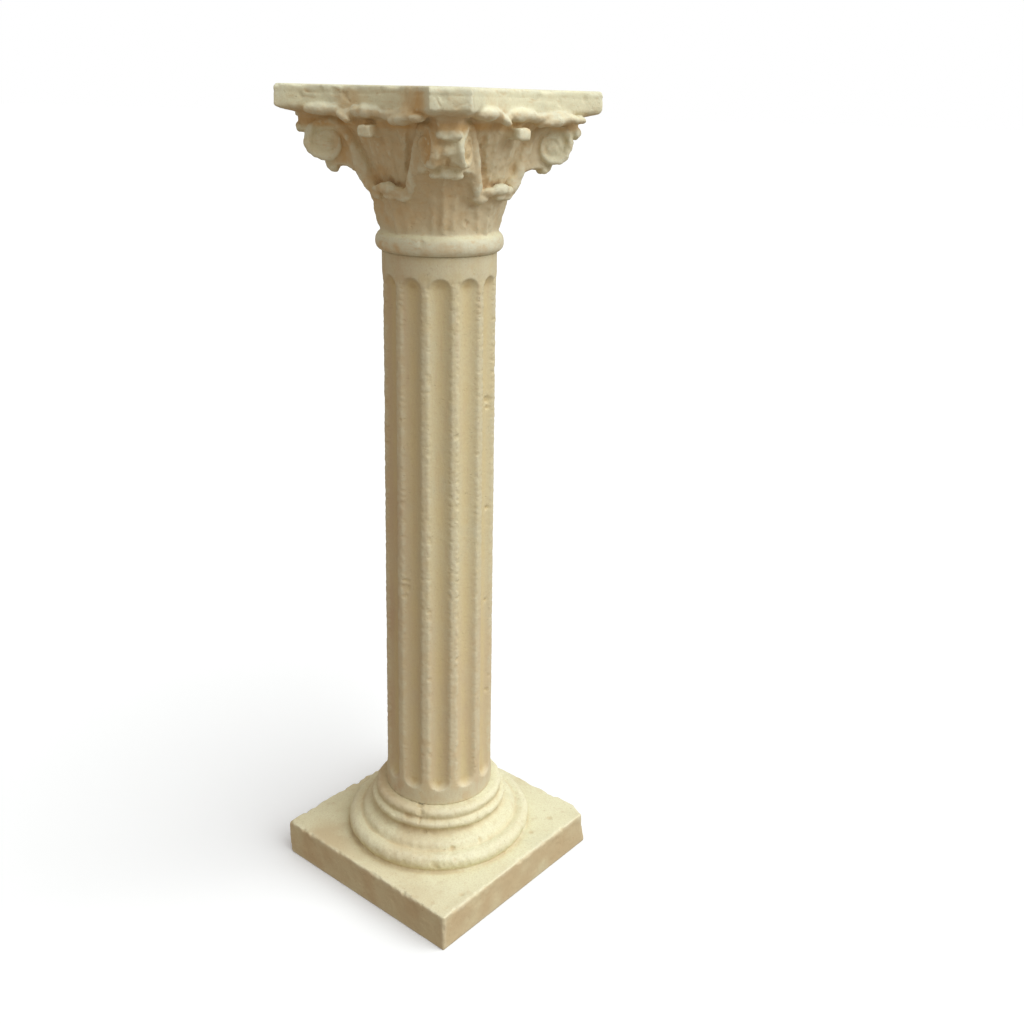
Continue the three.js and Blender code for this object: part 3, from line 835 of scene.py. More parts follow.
capitalShape = {
    "foot": 0.8261,
    "footEdge": (826.9, 828.2),
    "topEdge": (999.9, 998.6),
    "turn": 1.8,
    "voxel": 0.00125,
    "most": 196000,
    "wear": {
        "wave": 0.0005, "ripple": 0.0003, "carvedFine": 0.0011, "carvedBroad": 0.0012, "leaf": 0.0021,
        "bell": 0.0004, "scroll": 0.0009, "edgeNick": 0.0012, "edgeSlope": 0.0016, "scratch": 0.0007,
        "groove": 0.0030,
    },
    "zones": {
        "carved": (848, 856, 976, 986), "leaves": (882, 896, 955, 968), "rust": (846, 862, 972, 984),
        "underTips": (954, 961, 964, 970), "tips": (966, 971, 984, 986), "scrollTops": (956, 961, 967, 972),
    },
    "shelter": {"reach": 0.06, "rays": 12},
    "stainedTip": (72.0, -122.0, 977.0),
    "patches": [
        ((88.0, -128.0, 984.0), 42, 2, 1.0), ((-20.0, -117.0, 984.0), 26, 2, 0.7),
        ((78.0, -102.0, 942.0), 34, 8, 0.9), ((105.0, -66.0, 942.0), 28, 8, 0.6),
    ],
    "bell": [
        (66.0, 825.3), (66.6, 826.1), (68.6, 826.8), (71.8, 829.2), (73.5, 833.2), (73.7, 837.6),
        (72.7, 842.4), (70.2, 846.0), (67.4, 848.0), (66.4, 850.0), (66.6, 856.0), (68.6, 868.0),
        (71.4, 880.0), (75.0, 893.0), (80.0, 908.0), (87.0, 928.0), (95.0, 950.0), (102.0, 966.0),
        (106.0, 976.0), (60.0, 980.0),
    ],
    "dents": [
        (60.8, -22.4, 862.1, 5, 1.8), (65.4, -19.7, 881.3, 5, 1.5), (90.7, -31.6, 939.3, 5, 1.8),
        (79.3, -20.0, 923.4, 5, 1.8), (-55.4, -123.0, 992.8, 6, 1.1), (-38.2, -118.9, 993.1, 5, 1.1),
        (-24.2, -116.4, 988.6, 5, 1.3), (67.1, -120.1, 988.3, 6, 1.0), (33.1, -64.1, 841.3, 4, 1.0),
        (114.8, 32.4, 992.5, 4, 0.8), (128.1, 94.3, 990.7, 4, 0.9), (-78.5, -130.7, 988.4, 4, 0.8),
        (124.7, -126.9, 989.2, 5, 0.9), (25.8, -114.3, 995.1, 4, 0.9), (119.1, 61.8, 986.0, 4, 0.9),
        (115.6, -17.8, 991.7, 4, 0.8), (-40.0, 118.0, 990.0, 6, 1.2), (-120.0, -20.0, 991.0, 6, 1.2),
        (60.0, 121.0, 986.0, 5, 1.1), (-66.0, -24.0, 870.0, 5, 1.5), (10.0, 72.0, 866.0, 5, 1.5),
    ],
    "scratches": [
        ((-71.7, -128.1, 992.0), (-24.1, -116.4, 991.9), 2.0, 0.75),
        ((-28.0, -117.0, 993.3), (-23.0, -116.2, 987.6), 2.2, 0.9),
        ((-23.0, -116.2, 987.6), (-17.7, -115.6, 983.9), 2.0, 0.8),
        ((-41.9, -119.7, 995.5), (-33.1, -117.9, 994.7), 2.0, 0.9),
        ((140.6, -100.7, 988.2), (138.7, -97.1, 981.0), 1.8, 0.8),
        ((118.7, -37.1, 995.2), (116.6, -25.4, 994.5), 1.8, 0.7),
        ((114.1, 21.6, 989.4), (119.0, 61.6, 989.0), 2.0, 0.4),
        ((120.2, -131.8, 989.1), (123.4, -128.3, 982.1), 1.8, 0.5),
        ((132.5, -118.6, 980.6), (141.0, -109.6, 985.4), 1.8, 0.5),
        ((19.6, -114.0, 992.2), (58.4, -118.4, 993.7), 2.0, 0.6),
        ((119.0, 61.4, 993.0), (134.2, 109.9, 992.0), 1.8, 0.5),
        ((-78.6, -130.7, 987.4), (-58.1, -123.7, 986.9), 1.8, 0.5),
        ((80.1, -123.5, 991.2), (104.6, -131.9, 994.1), 1.8, 0.5),
        ((64.1, -19.7, 875.9), (60.6, -22.2, 859.9), 2.6, 0.9),
        ((30.0, 118.0, 990.0), (-18.0, 114.0, 988.0), 2.0, 0.5),
        ((-118.0, 20.0, 993.0), (-122.0, 70.0, 990.0), 2.0, 0.5),
    ],
    "grooves": [
        ((90.0, -31.5, 952.0), (83.4, -26.5, 936.9), 7.0, 0.9),
        ((83.4, -26.5, 936.9), (76.9, -17.1, 914.0), 7.0, 1.0),
        ((48.0, -97.3, 957.0), (40.2, -88.3, 942.9), 8.0, 0.7),
        ((40.2, -88.3, 942.9), (29.8, -75.2, 918.0), 8.0, 1.0),
    ],
}


def inPlan(radius, angle, height):
    # a point at an angle from -Y towards +X
    radius, angle, height = np.broadcast_arrays(radius, angle, height)
    return np.stack([radius * np.sin(angle), -radius * np.cos(angle), height], -1)


def pathNormals(path):
    tangent = np.gradient(path, axis=0)
    tangent /= np.linalg.norm(tangent, axis=1)[:, None]
    return np.stack([tangent[:, 1], -tangent[:, 0]], 1)


leafShapes = {
    "corner": {
        "spine": [
            (66.0, 845.5), (68.6, 856.0), (72.0, 872.0), (76.6, 889.0), (81.4, 900.0), (88.0, 909.6),
            (96.5, 915.6), (105.0, 917.6), (113.0, 916.2), (119.0, 912.6),
        ],
        "halfWidth": [(0, 19), (0.25, 22), (0.5, 25), (0.72, 22), (0.9, 18.5), (1, 15)],
        "thickness": [(0, 5), (0.6, 6), (1, 6.5)],
        "lobes": 4,
        "lobeDepth": 0.13,
        "rib": 1.8,
        "veins": 1.3,
        "ridges": 0.7,
    },
    "face": {
        "spine": [(66.0, 845.5), (68.4, 856.0), (71.2, 868.0), (75.0, 880.0), (79.4, 889.6), (83.6, 893.4)],
        "halfWidth": [(0, 20), (0.3, 24), (0.7, 26), (0.9, 25), (1, 22)],
        "thickness": [(0, 5), (0.6, 6), (1, 8)],
        "lobes": 3,
        "lobeDepth": 0.12,
        "rib": 2.0,
        "veins": 1.6,
        "ridges": 0.8,
    },
    "middle": {
        "spine": [
            (68.0, 872.0), (75.5, 890.0), (83.0, 910.0), (90.0, 930.0), (97.0, 946.0), (104.0, 960.0),
            (110.5, 970.0),
        ],
        "halfWidth": [(0, 8), (0.2, 15), (0.45, 21), (0.7, 25), (1, 27)],
        "thickness": [(0, 5), (0.3, 8), (1, 12)],
        "lobes": 2,
        "lobeDepth": 0.06,
        "rib": -2.2,
        "veins": 2.2,
        "ridges": 1.3,
    },
    "calyx": {
        "spine": [(86.0, 930.0), (95.0, 946.0), (104.0, 958.0), (114.0, 968.0), (122.0, 974.0)],
        "halfWidth": [(0, 11), (0.5, 18), (1, 24)],
        "thickness": [(0, 11), (1, 16)],
        "lobes": 1,
        "lobeDepth": 0.0,
        "rib": 0.8,
        "veins": 1.0,
        "ridges": 0.5,
    },
}


def leafShell(shape, startAngle, endAngle, across=41, along=71):
    # the face follows the spine; lobes scallop its edges, veins run out from the midrib
    spine = evenPath(shape["spine"], along)
    outward = pathNormals(spine)
    v = np.linspace(0, 1, along)
    u = np.linspace(-1, 1, across)
    half = np.interp(v, *zip(*shape["halfWidth"]))
    thick = np.interp(v, *zip(*shape["thickness"]))
    scallop = 1 - shape["lobeDepth"] * (1 - np.abs(np.sin(shape["lobes"] * math.pi * v)) ** 0.7)
    turn = startAngle + (endAngle - startAngle) * np.minimum(1, 1.2 * v)
    uu, vv = np.meshgrid(u, v)
    lateral = uu * (half * scallop)[:, None]
    fan = np.sin((vv * 3.2 - np.abs(uu) * 0.9) * shape["lobes"] * 2.4)
    relief = shape["rib"] * np.exp(-((uu / 0.16) ** 2))
    relief += shape["veins"] * 0.5 * fan * np.abs(uu) * (1 - np.abs(uu) ** 6)
    relief += shape["ridges"] * np.cos(uu * 11 + 1.6 * vv) * smoothStep(1.0, 0.7, np.abs(uu))
    relief -= 0.8 * thick[:, None] * np.abs(uu) ** 3.5
    relief *= smoothStep(0.0, 0.12, vv)

    def surface(offset):
        radius = spine[:, None, 0] + offset * outward[:, None, 0]
        height = spine[:, None, 1] + offset * outward[:, None, 1]
        angle = turn[:, None] + lateral / spine[:, None, 0]
        return inPlan(radius, angle, height) * mm

    return closedShell(surface(relief), surface(np.broadcast_to(-thick[:, None], relief.shape)))


voluteShape = {
    "webFoot": [
        (62, 880), (75, 891), (83, 903), (90, 912), (97, 916), (106, 917.5), (114, 918.5), (121, 921),
        (128, 928), (140, 943), (153, 963),
    ],
    "webHalf": [(62, 38), (75, 37), (90, 34), (100, 29), (108, 23), (118, 17), (130, 14), (153, 12)],
    "centre": (126.0, 944.5),
    "radius": 22.7,
    "frontHalf": 15.8,
    "splay": 0.33,
    "rimHalf": 4.3,
    "rimAcross": 5.0,
    "rimHeights": [(0, 3.0), (0.1, 8.5), (0.3, 8.0), (0.45, 5.4), (0.7, 4.3), (1, 2.6)],
    "rimWidths": [(0, 2.5), (0.12, 6.4), (0.4, 6.2), (0.7, 5.0), (1, 4.0)],
    "disc": {"inside": 3.0, "recess": 4.6, "back": 2.0},
    "drum": {"inside": 6.5, "recess": 8.0},
    "eye": {"half": 9.0, "depth": 7.2, "recess": 6.5},
    "startAngle": 104,
    "drift": (-3.0, -5.5),
    "cushion": {"from": 98.0, "to": 148.0, "low": 957.0, "high": 974.0, "inside": 2.6},
    "turns": 1.3,
    "bars": [
        {"out": 2.6, "height": 955.5, "halves": (14, 6.4, 5.6), "power": 3.0},
        {"out": -7.5, "height": 940.5, "halves": (9, 6.0, 7.0), "power": 2.6},
    ],
    "stem": [
        (60.0, 882.0), (70.5, 892.0), (79.5, 906.0), (87.0, 924.0), (94.5, 942.0), (103.5, 956.0),
        (114.0, 963.0),
    ],
}


def atHorn(out, sideways, height):
    # out along the diagonal towards +X -Y, sideways across it
    out, sideways, height = np.broadcast_arrays(out, sideways, height)
    d = math.sqrt(0.5)
    return np.stack([(out + sideways) * d, (sideways - out) * d, height], -1) * mm


def voluteShells(shape):
    centreOut, centreUp = shape["centre"]
    front = centreOut + shape["radius"]

    def halfAt(out):
        return shape["frontHalf"] + shape["splay"] * (front - out)

    def disc(circles):
        # a solid through circles round the scroll's centre, each with its reach and its sideways place
        rings = []
        for reach, place in circles:
            outs, ups = centreOut + reach * np.cos(circle(40)), centreUp + reach * np.sin(circle(40))
            rings.append(atHorn(outs, place(outs), ups))
        return np.stack(rings).reshape(-1, 3), gridFaces(len(rings), 40, closed=True)

    # the line of the scroll in the plane of out and up
    turns = np.linspace(0, 1, 40)
    angle = math.radians(shape["startAngle"]) - 2 * math.pi * shape["turns"] * turns
    reach = (shape["radius"] - shape["rimHalf"]) * (1 - 0.64 * np.clip(turns - 0.3, 0, 1) ** 0.85)
    driftOut, driftUp = shape["drift"]
    coilOut = centreOut + driftOut * turns + reach * np.cos(angle)
    coilUp = centreUp + driftUp * turns + reach * np.sin(angle)
    line = evenPath(np.concatenate([shape["stem"], np.stack([coilOut, coilUp], 1)[::2]]), 110)
    along = np.linspace(0, 1, len(line))
    normal = pathNormals(line)
    up = atHorn(normal[:, 0], 0, normal[:, 1]) / mm
    up /= np.linalg.norm(up, axis=1)[:, None]
    sidewaysAxis = np.broadcast_to(atHorn(0, 1, 0) / mm, up.shape)
    rim = np.interp(along, *zip(*shape["rimHeights"]))
    width = np.interp(along, *zip(*shape["rimWidths"]))
    flat, drum, eye = shape["disc"], shape["drum"], shape["eye"]
    eyeHalves = [eye["half"] * mm, eye["depth"] * mm, eye["half"] * mm]
    centre, flatReach, drumReach = 0.0001, shape["radius"] - flat["inside"], shape["radius"] - drum["inside"]
    shells = []
    for side in (-1, 1):
        middle = atHorn(line[:, 0], side * (halfAt(line[:, 0]) - shape["rimAcross"]), line[:, 1])
        shells.append(tubeShell(middle, sidewaysAxis, up, width * mm, rim * mm))
        # the eye, a low dome
        axes = [atHorn(1, side * shape["splay"] * -1.0, 0) / mm, atHorn(0, 1, 0) / mm, atHorn(0, 0, 1) / mm]
        aside = side * (halfAt(centreOut) - eye["recess"])
        eyePlace = atHorn(centreOut + driftOut, aside, centreUp + driftUp)
        shells.append(pebbleShell(eyePlace, axes, eyeHalves, 16, 28))
        # the shallow disc that the scroll is carved on
        face, back = lambda outs: side * (halfAt(outs) - flat["recess"]), lambda outs: side * flat["back"]
        shells.append(disc([(centre, face), (flatReach, face), (flatReach, back), (centre, back)]))
    # the drum between the two scrolls
    left, right = lambda outs: drum["recess"] - halfAt(outs), lambda outs: halfAt(outs) - drum["recess"]
    shells.append(disc([(centre, left), (drumReach, left), (drumReach, right), (centre, right)]))
    return shells, halfAt, front


def slabShell(out, half, low, high):
    # a block along the diagonal whose width and lower line change on the way
    corners = ((-half, low), (half, low), (half, high), (-half, high))
    rings = np.stack([atHorn(out, sideways, height) for sideways, height in corners], 1)
    end = (len(out) - 1) * 4
    faces = gridFaces(len(out), 4, closed=True) + [(3, 2, 1, 0), (end, end + 1, end + 2, end + 3)]
    return rings.reshape(-1, 3), faces


def hornShells(shape):
    shells, halfAt, front = voluteShells(shape)
    # the web from the bell out to the volutes, closed down to the corner leaf's tip
    out = np.linspace(62, front + 4.5, 60)
    low = np.interp(out, *zip(*shape["webFoot"]))
    half = np.minimum(np.interp(out, *zip(*shape["webHalf"])), halfAt(out) - 3.5)
    shells.append(slabShell(out, half, low, 976.0))
    # the cushion that closes the space between the volutes and the abacus
    cushion = shape["cushion"]
    out = np.linspace(cushion["from"], cushion["to"], 30)
    shells.append(slabShell(out, halfAt(out) - cushion["inside"], cushion["low"], cushion["high"]))
    # the bar across the volutes' fronts and a smaller, lower one at the back of the channel
    axes = [atHorn(0, 1, 0) / mm, atHorn(1, 0, 0) / mm, atHorn(0, 0, 1) / mm]
    for bar in shape["bars"]:
        place, halves = atHorn(front + bar["out"], 0, bar["height"]), np.array(bar["halves"]) * mm
        shells.append(pebbleShell(place, axes, halves, 14, 24, bar["power"]))
    return shells


tipShapes = {
    "rolls": [
        {"along": -59, "halves": (26.5, 12.5, 6.6), "rise": 0.8, "tilt": 0.0},
        {"along": 0, "halves": (27.0, 12.5, 7.6), "rise": -0.5, "tilt": 0.0},
        {"along": 58, "halves": (26.5, 12.5, 6.4), "rise": -5.8, "tilt": 0.11},
        {"along": 84, "halves": (10.0, 8.0, 4.2), "rise": -5.0, "tilt": 0.0},
        {"along": -30, "halves": (10.0, 7.0, 4.0), "rise": -6.5, "tilt": -0.4},
    ],
    "overhang": 7.0,
    "height": 974.6,
    "swag": {"half": 76, "inset": 5.0, "height": 973.4, "dip": 1.6, "wave": 62, "halves": (8.0, 5.4)},
}
abacusShape = {
    "reach": 177.8,
    "hornWidth": 41.0,
    "midReach": 114.0,
    "under": 971.6,
    "foot": 977.4,
    "top": 999.8,
    "soffitShare": 0.877,
    "groove": 991.4,
}


def abacusArc(shape):
    tip = (shape["reach"] + shape["hornWidth"] / 2) * math.sqrt(0.5)
    side = (shape["reach"] - shape["hornWidth"] / 2) * math.sqrt(0.5)
    rise = tip - shape["midReach"]
    radius = (rise**2 + side**2) / (2 * rise)
    return radius, shape["midReach"] + radius, math.asin(side / radius)


def abacusShell(shape):
    radius, away, half = abacusArc(shape)
    outline = []
    for turn in np.arange(4) * math.pi / 2:
        a = turn + math.pi + np.linspace(half, -half, 40)
        x, y = away * math.cos(turn) + radius * np.cos(a), away * math.sin(turn) + radius * np.sin(a)
        outline.append(np.stack([x, y], 1))
    outline = np.concatenate(outline)
    foot, top, groove = shape["foot"], shape["top"], shape["groove"]
    levels = [
        (shape["under"], shape["soffitShare"]), (foot - 0.6, 0.993), (foot + 0.8, 1.0),
        (groove - 1.2, 1.0), (groove, 0.9945), (groove + 1.2, 1.0),
        (top - 2.6, 1.0), (top - 0.9, 0.994), (top, 0.984),
    ]
    rings = np.stack([np.concatenate([outline * s, np.full((len(outline), 1), z)], 1) for z, s in levels])
    return cappedShell(rings * mm, [0, 0, shape["under"] * mm], [0, 0, top * mm])


def tipShell(roll, arc):
    # a rolled leaf tip: a pillow lying along the hollow side that faces -Y
    halves = roll["halves"]
    radius = arc[0] - tipShapes["overhang"] + halves[1]
    bend = math.asin(roll["along"] / radius)
    tilt = roll["tilt"]
    level = np.array([math.cos(bend), -math.sin(bend), 0.0])
    sideways = level * math.cos(tilt) + np.array([0.0, 0.0, math.sin(tilt)])
    upwards = np.array([0.0, 0.0, math.cos(tilt)]) - level * math.sin(tilt)
    outwards = np.array([-math.sin(bend), -math.cos(bend), 0.0])
    height = tipShapes["height"] + roll["rise"]
    centre = np.array([radius * math.sin(bend), radius * math.cos(bend) - arc[1], height]) * mm
    return pebbleShell(centre, [sideways, outwards, upwards], np.array(halves) * mm, 26, 60, 2.3, 3, 0.05)


def swagShell(swag, arc):
    # the low roll that links the leaf tips along the abacus's foot
    along = np.linspace(-swag["half"], swag["half"], 60)
    radius = arc[0] + swag["inset"]
    bend = np.arcsin(along / radius)
    height = swag["height"] + swag["dip"] * np.cos(along / swag["wave"] * 2 * math.pi)
    path = np.stack([radius * np.sin(bend), radius * np.cos(bend) - arc[1], height], 1) * mm
    across = np.stack([-np.sin(bend), -np.cos(bend), np.zeros(60)], 1)
    up = np.broadcast_to([0.0, 0.0, 1.0], across.shape)
    taper = np.interp(np.abs(along), [0, 66, swag["half"]], [1, 1, 0.7]) * mm
    return tubeShell(path, across, up, swag["halves"][0] * taper, swag["halves"][1] * taper)


lipShapes = [
    {
        "turn": 0, "halves": (11.0, 5.4, 4.6),
        "lobes": [
            (-9, 85.5, 896.0, 1.0), (0, 88.0, 898.0, 1.2), (10, 85.0, 895.0, 1.0),
            (-16, 81.5, 888.5, 0.95), (14, 82.5, 889.0, 1.0), (2, 84.5, 889.5, 0.8),
        ],
    },
    {
        "turn": 45, "halves": (8.5, 6.2, 4.8),
        "lobes": [
            (-5.0, 117.0, 915.2, 1.0), (0, 119.5, 916.4, 1.1), (5.0, 117.0, 915.2, 1.0),
            (0, 122.5, 921.0, 0.9),
        ],
    },
]


def lipShells(shape):
    # the curled lip of a lower leaf, a row of small lobes
    shells = []
    for angle, radius, height, scale in shape["lobes"]:
        a = math.radians(shape["turn"]) + math.radians(angle)
        axes = [inPlan(1.0, a + math.pi / 2, 0.0), inPlan(1.0, a, 0.0), [0, 0, 1]]
        size = np.array(shape["halves"]) * scale * mm
        shells.append(pebbleShell(inPlan(radius, a, height) * mm, axes, size, 14, 22, 2.1))
    return shells


budShape = {"centre": (0, -108.0, 955.6), "halves": (9.4, 12.0, 6.2), "power": 9.0}


def budShell(shape):
    axes = [[1, 0, 0], [0, -1, 0], [0, 0, 1]]
    centre, halves = np.array(shape["centre"]) * mm, np.array(shape["halves"]) * mm
    return pebbleShell(centre, axes, halves, 16, 28, shape["power"])


def copiesTree(values):
    tree, given = newTree("copiesRoundAxis", values)
    line = newNode(tree, "GeometryNodeMeshLine", {"Count": given["Copies"], "Offset": (0, 0, 0)})
    index = newNode(tree, "GeometryNodeInputIndex").outputs["Index"]
    turn = newNode(tree, "ShaderNodeCombineXYZ", {"Z": calc(tree, "MULTIPLY", index, given["Step"])})
    place = newNode(tree, "GeometryNodeInstanceOnPoints", {
        "Points": line.outputs["Mesh"], "Instance": given["Geometry"], "Rotation": turn.outputs["Vector"],
    })
    finishTree(tree, place.outputs["Instances"], given["Material"])
    return tree


def quarterShells():
    # one corner and one side of the carving, which is repeated four times
    quarter = [leafShell(leafShapes["corner"], math.pi / 4, math.pi / 4)]
    quarter += [leafShell(leafShapes[kind], 0, 0) for kind in ("face", "middle")]
    for side in (-1, 1):
        start, end = side * math.radians(17), side * math.radians(26)
        quarter.append(leafShell(leafShapes["calyx"], start, end, 25, 31))
    arc = abacusArc(abacusShape)
    quarter += [tipShell(roll, arc) for roll in tipShapes["rolls"]]
    quarter.append(swagShell(tipShapes["swag"], arc))
    for lip in lipShapes:
        quarter += lipShells(lip)
    return quarter + hornShells(voluteShape) + [budShell(budShape)]


def makeCapital(shape, material):
    pattern = meshObject("capitalQuarter", *joinShells(quarterShells()))
    values = {"Copies": 4, "Step": math.pi / 2}
    carving = runTree(pattern, copiesTree(values), {**values, "Material": material}, "carving")
    print("carving", len(carving.data.polygons), "faces")

    bell = turnedShell(evenPath(np.array(shape["bell"]) * mm, 140), 200)
    core = meshObject("capitalCore", *joinShells([bell, abacusShell(abacusShape)]))
    core.data.materials.append(material)
    with bpy.context.temp_override(active_object=core, selected_editable_objects=[core, carving]):
        bpy.ops.object.join()
    outwardFaces(core)
    capital = remeshed(core, "capital", shape["voxel"])
    print("capital remeshed", len(capital.data.polygons), "faces")

    points, ends, wear = coordinates(capital), edgeEnds(capital), shape["wear"]
    zones = shape["zones"]
    carvedZone = band(points[:, 2] / mm, *zones["carved"])
    soft, softer = relaxed(points, ends, 3, 0.5), relaxed(points, ends, 8, 0.5)
    points = soft + (softer - soft) * carvedZone[:, None]
    setCoordinates(capital, points)
    normals = vertexNormals(capital)
    height = points[:, 2] / mm
    bed = smoothStep(*shape["footEdge"], height) * smoothStep(*shape["topEdge"], height)
    uneven = wear["wave"] * roughNoise(points, 0.05, 31) + wear["ripple"] * roughNoise(points, 0.012, 32)
    fine, broad = roughNoise(points, 0.008, 33), roughNoise(points, 0.019, 34)
    uneven += carvedZone * (wear["carvedFine"] * fine + wear["carvedBroad"] * broad)
    uneven += wear["leaf"] * band(height, *zones["leaves"]) * roughNoise(points, 0.012, 41, 0.7)
    # gouge marks run up the bell between the leaves
    angle = np.arctan2(points[:, 0], -points[:, 1])
    fluting = np.sin(angle * 44 + 1.5 * softNoise(points, 0.03, 35)) * softNoise(points, 0.018, 36)
    uneven += wear["bell"] * fluting * smoothStep(846, 852, height) * smoothStep(905, 880, height)
    # the scrolls are the most broken part
    scrolls = smoothStep(128, 142, np.hypot(points[:, 0], points[:, 1]) / mm) * smoothStep(972, 964, height)
    uneven += wear["scroll"] * scrolls * roughNoise(points, 0.010, 43)
    points = points + normals * (uneven * bed)[:, None]
    # nicks along the abacus's edges
    wide = relaxed(points, ends, 14)
    crest = np.clip(((points - wide) * normals).sum(1) / 0.0007, 0, 1)
    chip = smoothStep(0.2, 0.75, softNoise(points, 0.011, 37) * 0.7 + softNoise(points, 0.005, 38) * 0.5)
    worn = wear["edgeNick"] * chip * crest * bed
    slope = smoothStep(0.15, 0.7, softNoise(points, 0.026, 44) + 0.4 * softNoise(points, 0.009, 45))
    worn += wear["edgeSlope"] * slope * crest * smoothStep(994, 998, height)
    points = points - normals * worn[:, None]
    turn = math.radians(shape["turn"])
    spin = [[math.cos(turn), math.sin(turn), 0], [-math.sin(turn), math.cos(turn), 0], [0, 0, 1]]
    points = points @ np.array(spin)
    setCoordinates(capital, points)
    normals = vertexNormals(capital)
    points = pushDents(points, normals, shape["dents"])
    points -= normals * (wear["scratch"] * scratchedBy(points, shape["scratches"]))[:, None]
    points -= normals * (wear["groove"] * scratchedBy(points, shape["grooves"]))[:, None]
    low = height < shape["footEdge"][0]
    points[low, 2] = np.maximum(points[low, 2], shape["foot"])
    setCoordinates(capital, points)
    capital = thinned(capital, "capital", shape["most"])
    markWear(capital, {"rounds": 5, "depth": 0.5}, {"rounds": 90, "depth": 3.2})
    return capital


def shelter(thing, reach, rays):
    # how closed in each point is: the share of short rays that meet the piece again
    points, normals = coordinates(thing), vertexNormals(thing)
    tree = BVHTree.FromPolygons(points.tolist(), [tuple(p.vertices) for p in thing.data.polygons])
    spread = np.random.default_rng(5).normal(size=(rays, 3))
    spread /= np.linalg.norm(spread, axis=1)[:, None]
    closed = np.zeros(len(points))
    for i, (point, normal) in enumerate(zip(points, normals)):
        start = Vector(point + normal * 0.0006)
        directions = (Vector(normal * 1.02 + ray) for ray in spread)
        closed[i] = sum(tree.ray_cast(start, way, reach)[0] is not None for way in directions) / rays
    return relaxed(closed[:, None], edgeEnds(thing), 4)[:, 0]


def markCarving(capital, shape):
    # the carving's dirt and painted shade follow its shelter; both are fainter on the scrolls and the rolled
    # tips
    closedIn = shelter(capital, **shape["shelter"])
    spots, facing = coordinates(capital), attributeValues(capital, "upward")
    height, reach = spots[:, 2] / mm, np.hypot(spots[:, 0], spots[:, 1]) / mm
    scrolled = smoothStep(98, 126, reach) * smoothStep(968, 960, height)
    fainterDirtAndShade = smoothStep(86, 112, reach) * smoothStep(986, 974, height)
    fainterDirtAndShade *= 0.4 + 0.3 * smoothStep(950, 957, height)
    # painted shade: closed-in places are darkened, added to the dirt in the hollows
    dirtAndShade = 0.45 * attributeValues(capital, "hollow") + 0.72 * smoothStep(0.25, 0.95, closedIn)
    overScrolls = smoothStep(132, 146, reach) * band(height, *shape["zones"]["scrollTops"])
    dirtAndShade = np.maximum.reduce([
        dirtAndShade * (1 - fainterDirtAndShade),
        0.9 * scratchedBy(spots, shape["scratches"]),
        0.85 * scratchedBy(spots, shape["grooves"]),
        0.42 * overScrolls,
    ])
    setAttribute(capital, "hollow", np.clip(dirtAndShade, 0, 1))
    onAbacus = 0.8 * smoothStep(974, 980, height)
    setAttribute(capital, "upward", np.maximum.reduce([facing, onAbacus, 0.45 * scrolled]))
    # painted highlight: the upward faces of the rolled leaf tips are made pale
    tipHighlight = band(height, *shape["zones"]["tips"]) * smoothStep(0.04, 0.5, facing)
    tipHighlight *= smoothStep(24, 48, awayFrom(spots, shape["stainedTip"]))
    setAttribute(capital, "proud", np.maximum(attributeValues(capital, "proud"), tipHighlight))


# warm stains that gather in the sheltered places and on the upright faces, with painted shade: on each piece
# the stain is laid on heavier on the side turned from the key light

# the side of each piece turned from the key light, where the stain is heavier as painted shade; the rust
# thins towards the front horn
stainAndShadeSides = {"base": -50, "shaft": -40, "capital": -10, "bead": -46, "frontHorn": 43}


def towards(points, side):
    # 1 on the side at an angle from -Y, 0 at right angles to it and -1 behind
    return np.cos(np.arctan2(points[:, 0], -points[:, 1]) - math.radians(stainAndShadeSides[side]))


def baseStain(points):
    x, y, z = points.T / mm
    half = baseShape["side"] / 2 / mm
    upright = smoothStep(3.5, 0.5, half - np.maximum(np.abs(x), np.abs(y))) * smoothStep(50.5, 47.0, z)
    side = 0.5 + 0.5 * towards(points, "base")
    # the crease at the shaft's foot is stained mostly on the side turned from the key light: dirt with
    # painted shade
    crease = smoothStep(26, 0, np.abs(np.hypot(x, y) - 80) + np.abs(z - 116))
    # painted warm fill light: the upper faces on the side turned from the key light are tinted
    paintedWarmFill = 0.8 * side * (0.3 + 0.7 * smoothStep(-0.2, 0.7, softNoise(points, 0.06, 51))) * (z > 49)
    spots = np.zeros(len(points))
    for dentX, dentY, dentZ, radius, _ in baseShape["dents"]:
        spots = np.maximum(spots, 0.5 * smoothStep(radius * 1.5, 0, awayFrom(points, (dentX, dentY, dentZ))))
    upright *= 0.85 + 0.3 * softNoise(points, 0.02, 54)
    return np.maximum.reduce([upright, crease * side, paintedWarmFill, spots])


def shaftStain(points):
    # painted shade: the shaft is stained on its side turned from the key light
    side = smoothStep(0.2, 1.0, towards(points, "shaft"))
    low = smoothStep(0.50, 0.26, points[:, 2]) * (0.43 + 0.12 * softNoise(points, 0.05, 59))
    return np.maximum(side * (0.55 + 0.4 * softNoise(points, 0.02, 52, 0.3)), low)


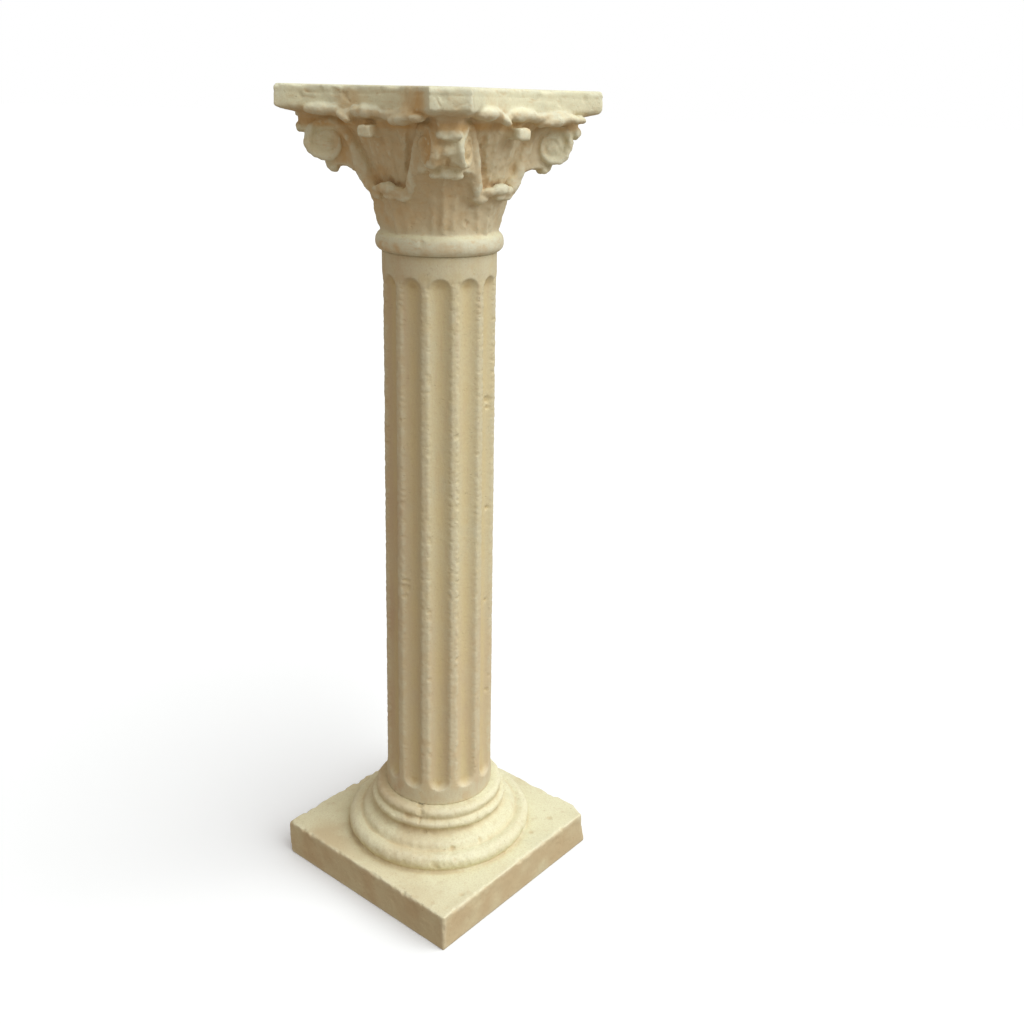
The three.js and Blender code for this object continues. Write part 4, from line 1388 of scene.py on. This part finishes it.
def capitalStain(points):
    x, y, z = points.T / mm
    zones = capitalShape["zones"]
    # the rust is heavier on the side turned from the key light: rust with painted shade
    side = 0.35 + 0.65 * smoothStep(-0.3, 1.0, towards(points, "capital"))
    carved = band(z, *zones["rust"])
    volutes = smoothStep(108, 126, np.hypot(x, y)) * smoothStep(966, 960, z)
    grain = 0.7 * softNoise(points, 0.022, 53) + 0.45 * softNoise(points, 0.009, 55)
    grain += 0.35 * softNoise(points, 0.004, 56)
    rust = carved * side * (0.32 + 0.52 * smoothStep(-0.6, 0.9, grain))
    rust *= 0.75 + 0.25 * smoothStep(0.4, 0.0, towards(points, "frontHorn") - 0.55)
    spread = 1 + 0.4 * softNoise(points, 0.018, 57) + 0.2 * softNoise(points, 0.006, 58)
    patches = [
        strength * smoothStep(outer, inner, spread * awayFrom(points, place))
        for place, outer, inner, strength in capitalShape["patches"]
    ]
    # the astragal's dirt is heavier on the side turned from the key light: dirt with painted shade
    bead = 0.25 + 0.6 * smoothStep(0.3, 1.0, towards(points, "bead"))
    bead *= smoothStep(8, 2, np.abs(z - 833))
    # rust under the leaf tips, heavier on the side turned from the key light as painted shade
    under = band(z, *zones["underTips"]) * (0.48 + 0.35 * side + 0.3 * grain)
    return np.maximum.reduce([rust * (1 - 0.95 * volutes), bead, under, *patches])


shaftPlaster = agedPlaster(
    "shaftPlaster",
    {**plasterFinish, "chalk": (0.66, 0.65, 0.49), "chalkShare": 0.6, "ochre": (0.66, 0.57, 0.32),
     "umber": (0.50, 0.38, 0.19), "cream": (0.65, 0.60, 0.39), "sage": (0.60, 0.59, 0.43),
     "streak": (1, 1, 0.12)},
)
basePlaster = agedPlaster(
    "basePlaster",
    {**plasterFinish, "cream": (0.71, 0.70, 0.48), "tan": (0.56, 0.455, 0.28), "blotch": 0.5, "stainAndShade": 0.42,
     "chalkShare": 0.25},
)
capitalPlaster = agedPlaster(
    "capitalPlaster",
    {**plasterFinish, "cream": (0.68, 0.65, 0.48), "ochre": (0.55, 0.38, 0.19), "umber": (0.33, 0.18, 0.075),
     "tan": (0.62, 0.43, 0.20), "pale": (0.81, 0.83, 0.615), "chalk": (0.75, 0.79, 0.64), "stainAndShade": 0.75,
     "streak": (1, 1, 3.5), "chalkShare": 0.7, "speckle": 0.5},
)

shaft = makeShaft(shaftShape, shaftPlaster)
print("shaft", len(shaft.data.polygons), "faces")
base = makeBase(baseShape)
print("base", len(base.data.polygons), "faces")
capital = makeCapital(capitalShape, capitalPlaster)
print("capital", len(capital.data.polygons), "faces")

markCarving(capital, capitalShape)
print("shelter found")

for piece, material, node, slotName, rule in (
    (shaft, shaftPlaster, "fluted_shaft", "shaft_plaster", shaftStain),
    (base, basePlaster, "plinth_and_base", "base_plaster", baseStain),
    (capital, capitalPlaster, "capital", "capital_plaster", capitalStain),
):
    piece.data.materials.clear()
    piece.data.materials.append(material)
    piece.data.polygons.foreach_set("use_smooth", np.ones(len(piece.data.polygons), dtype=bool))
    setAttribute(piece, "stainAndShade", np.clip(rule(coordinates(piece)), 0, 1))
    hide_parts(node)
    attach(piece, "root")
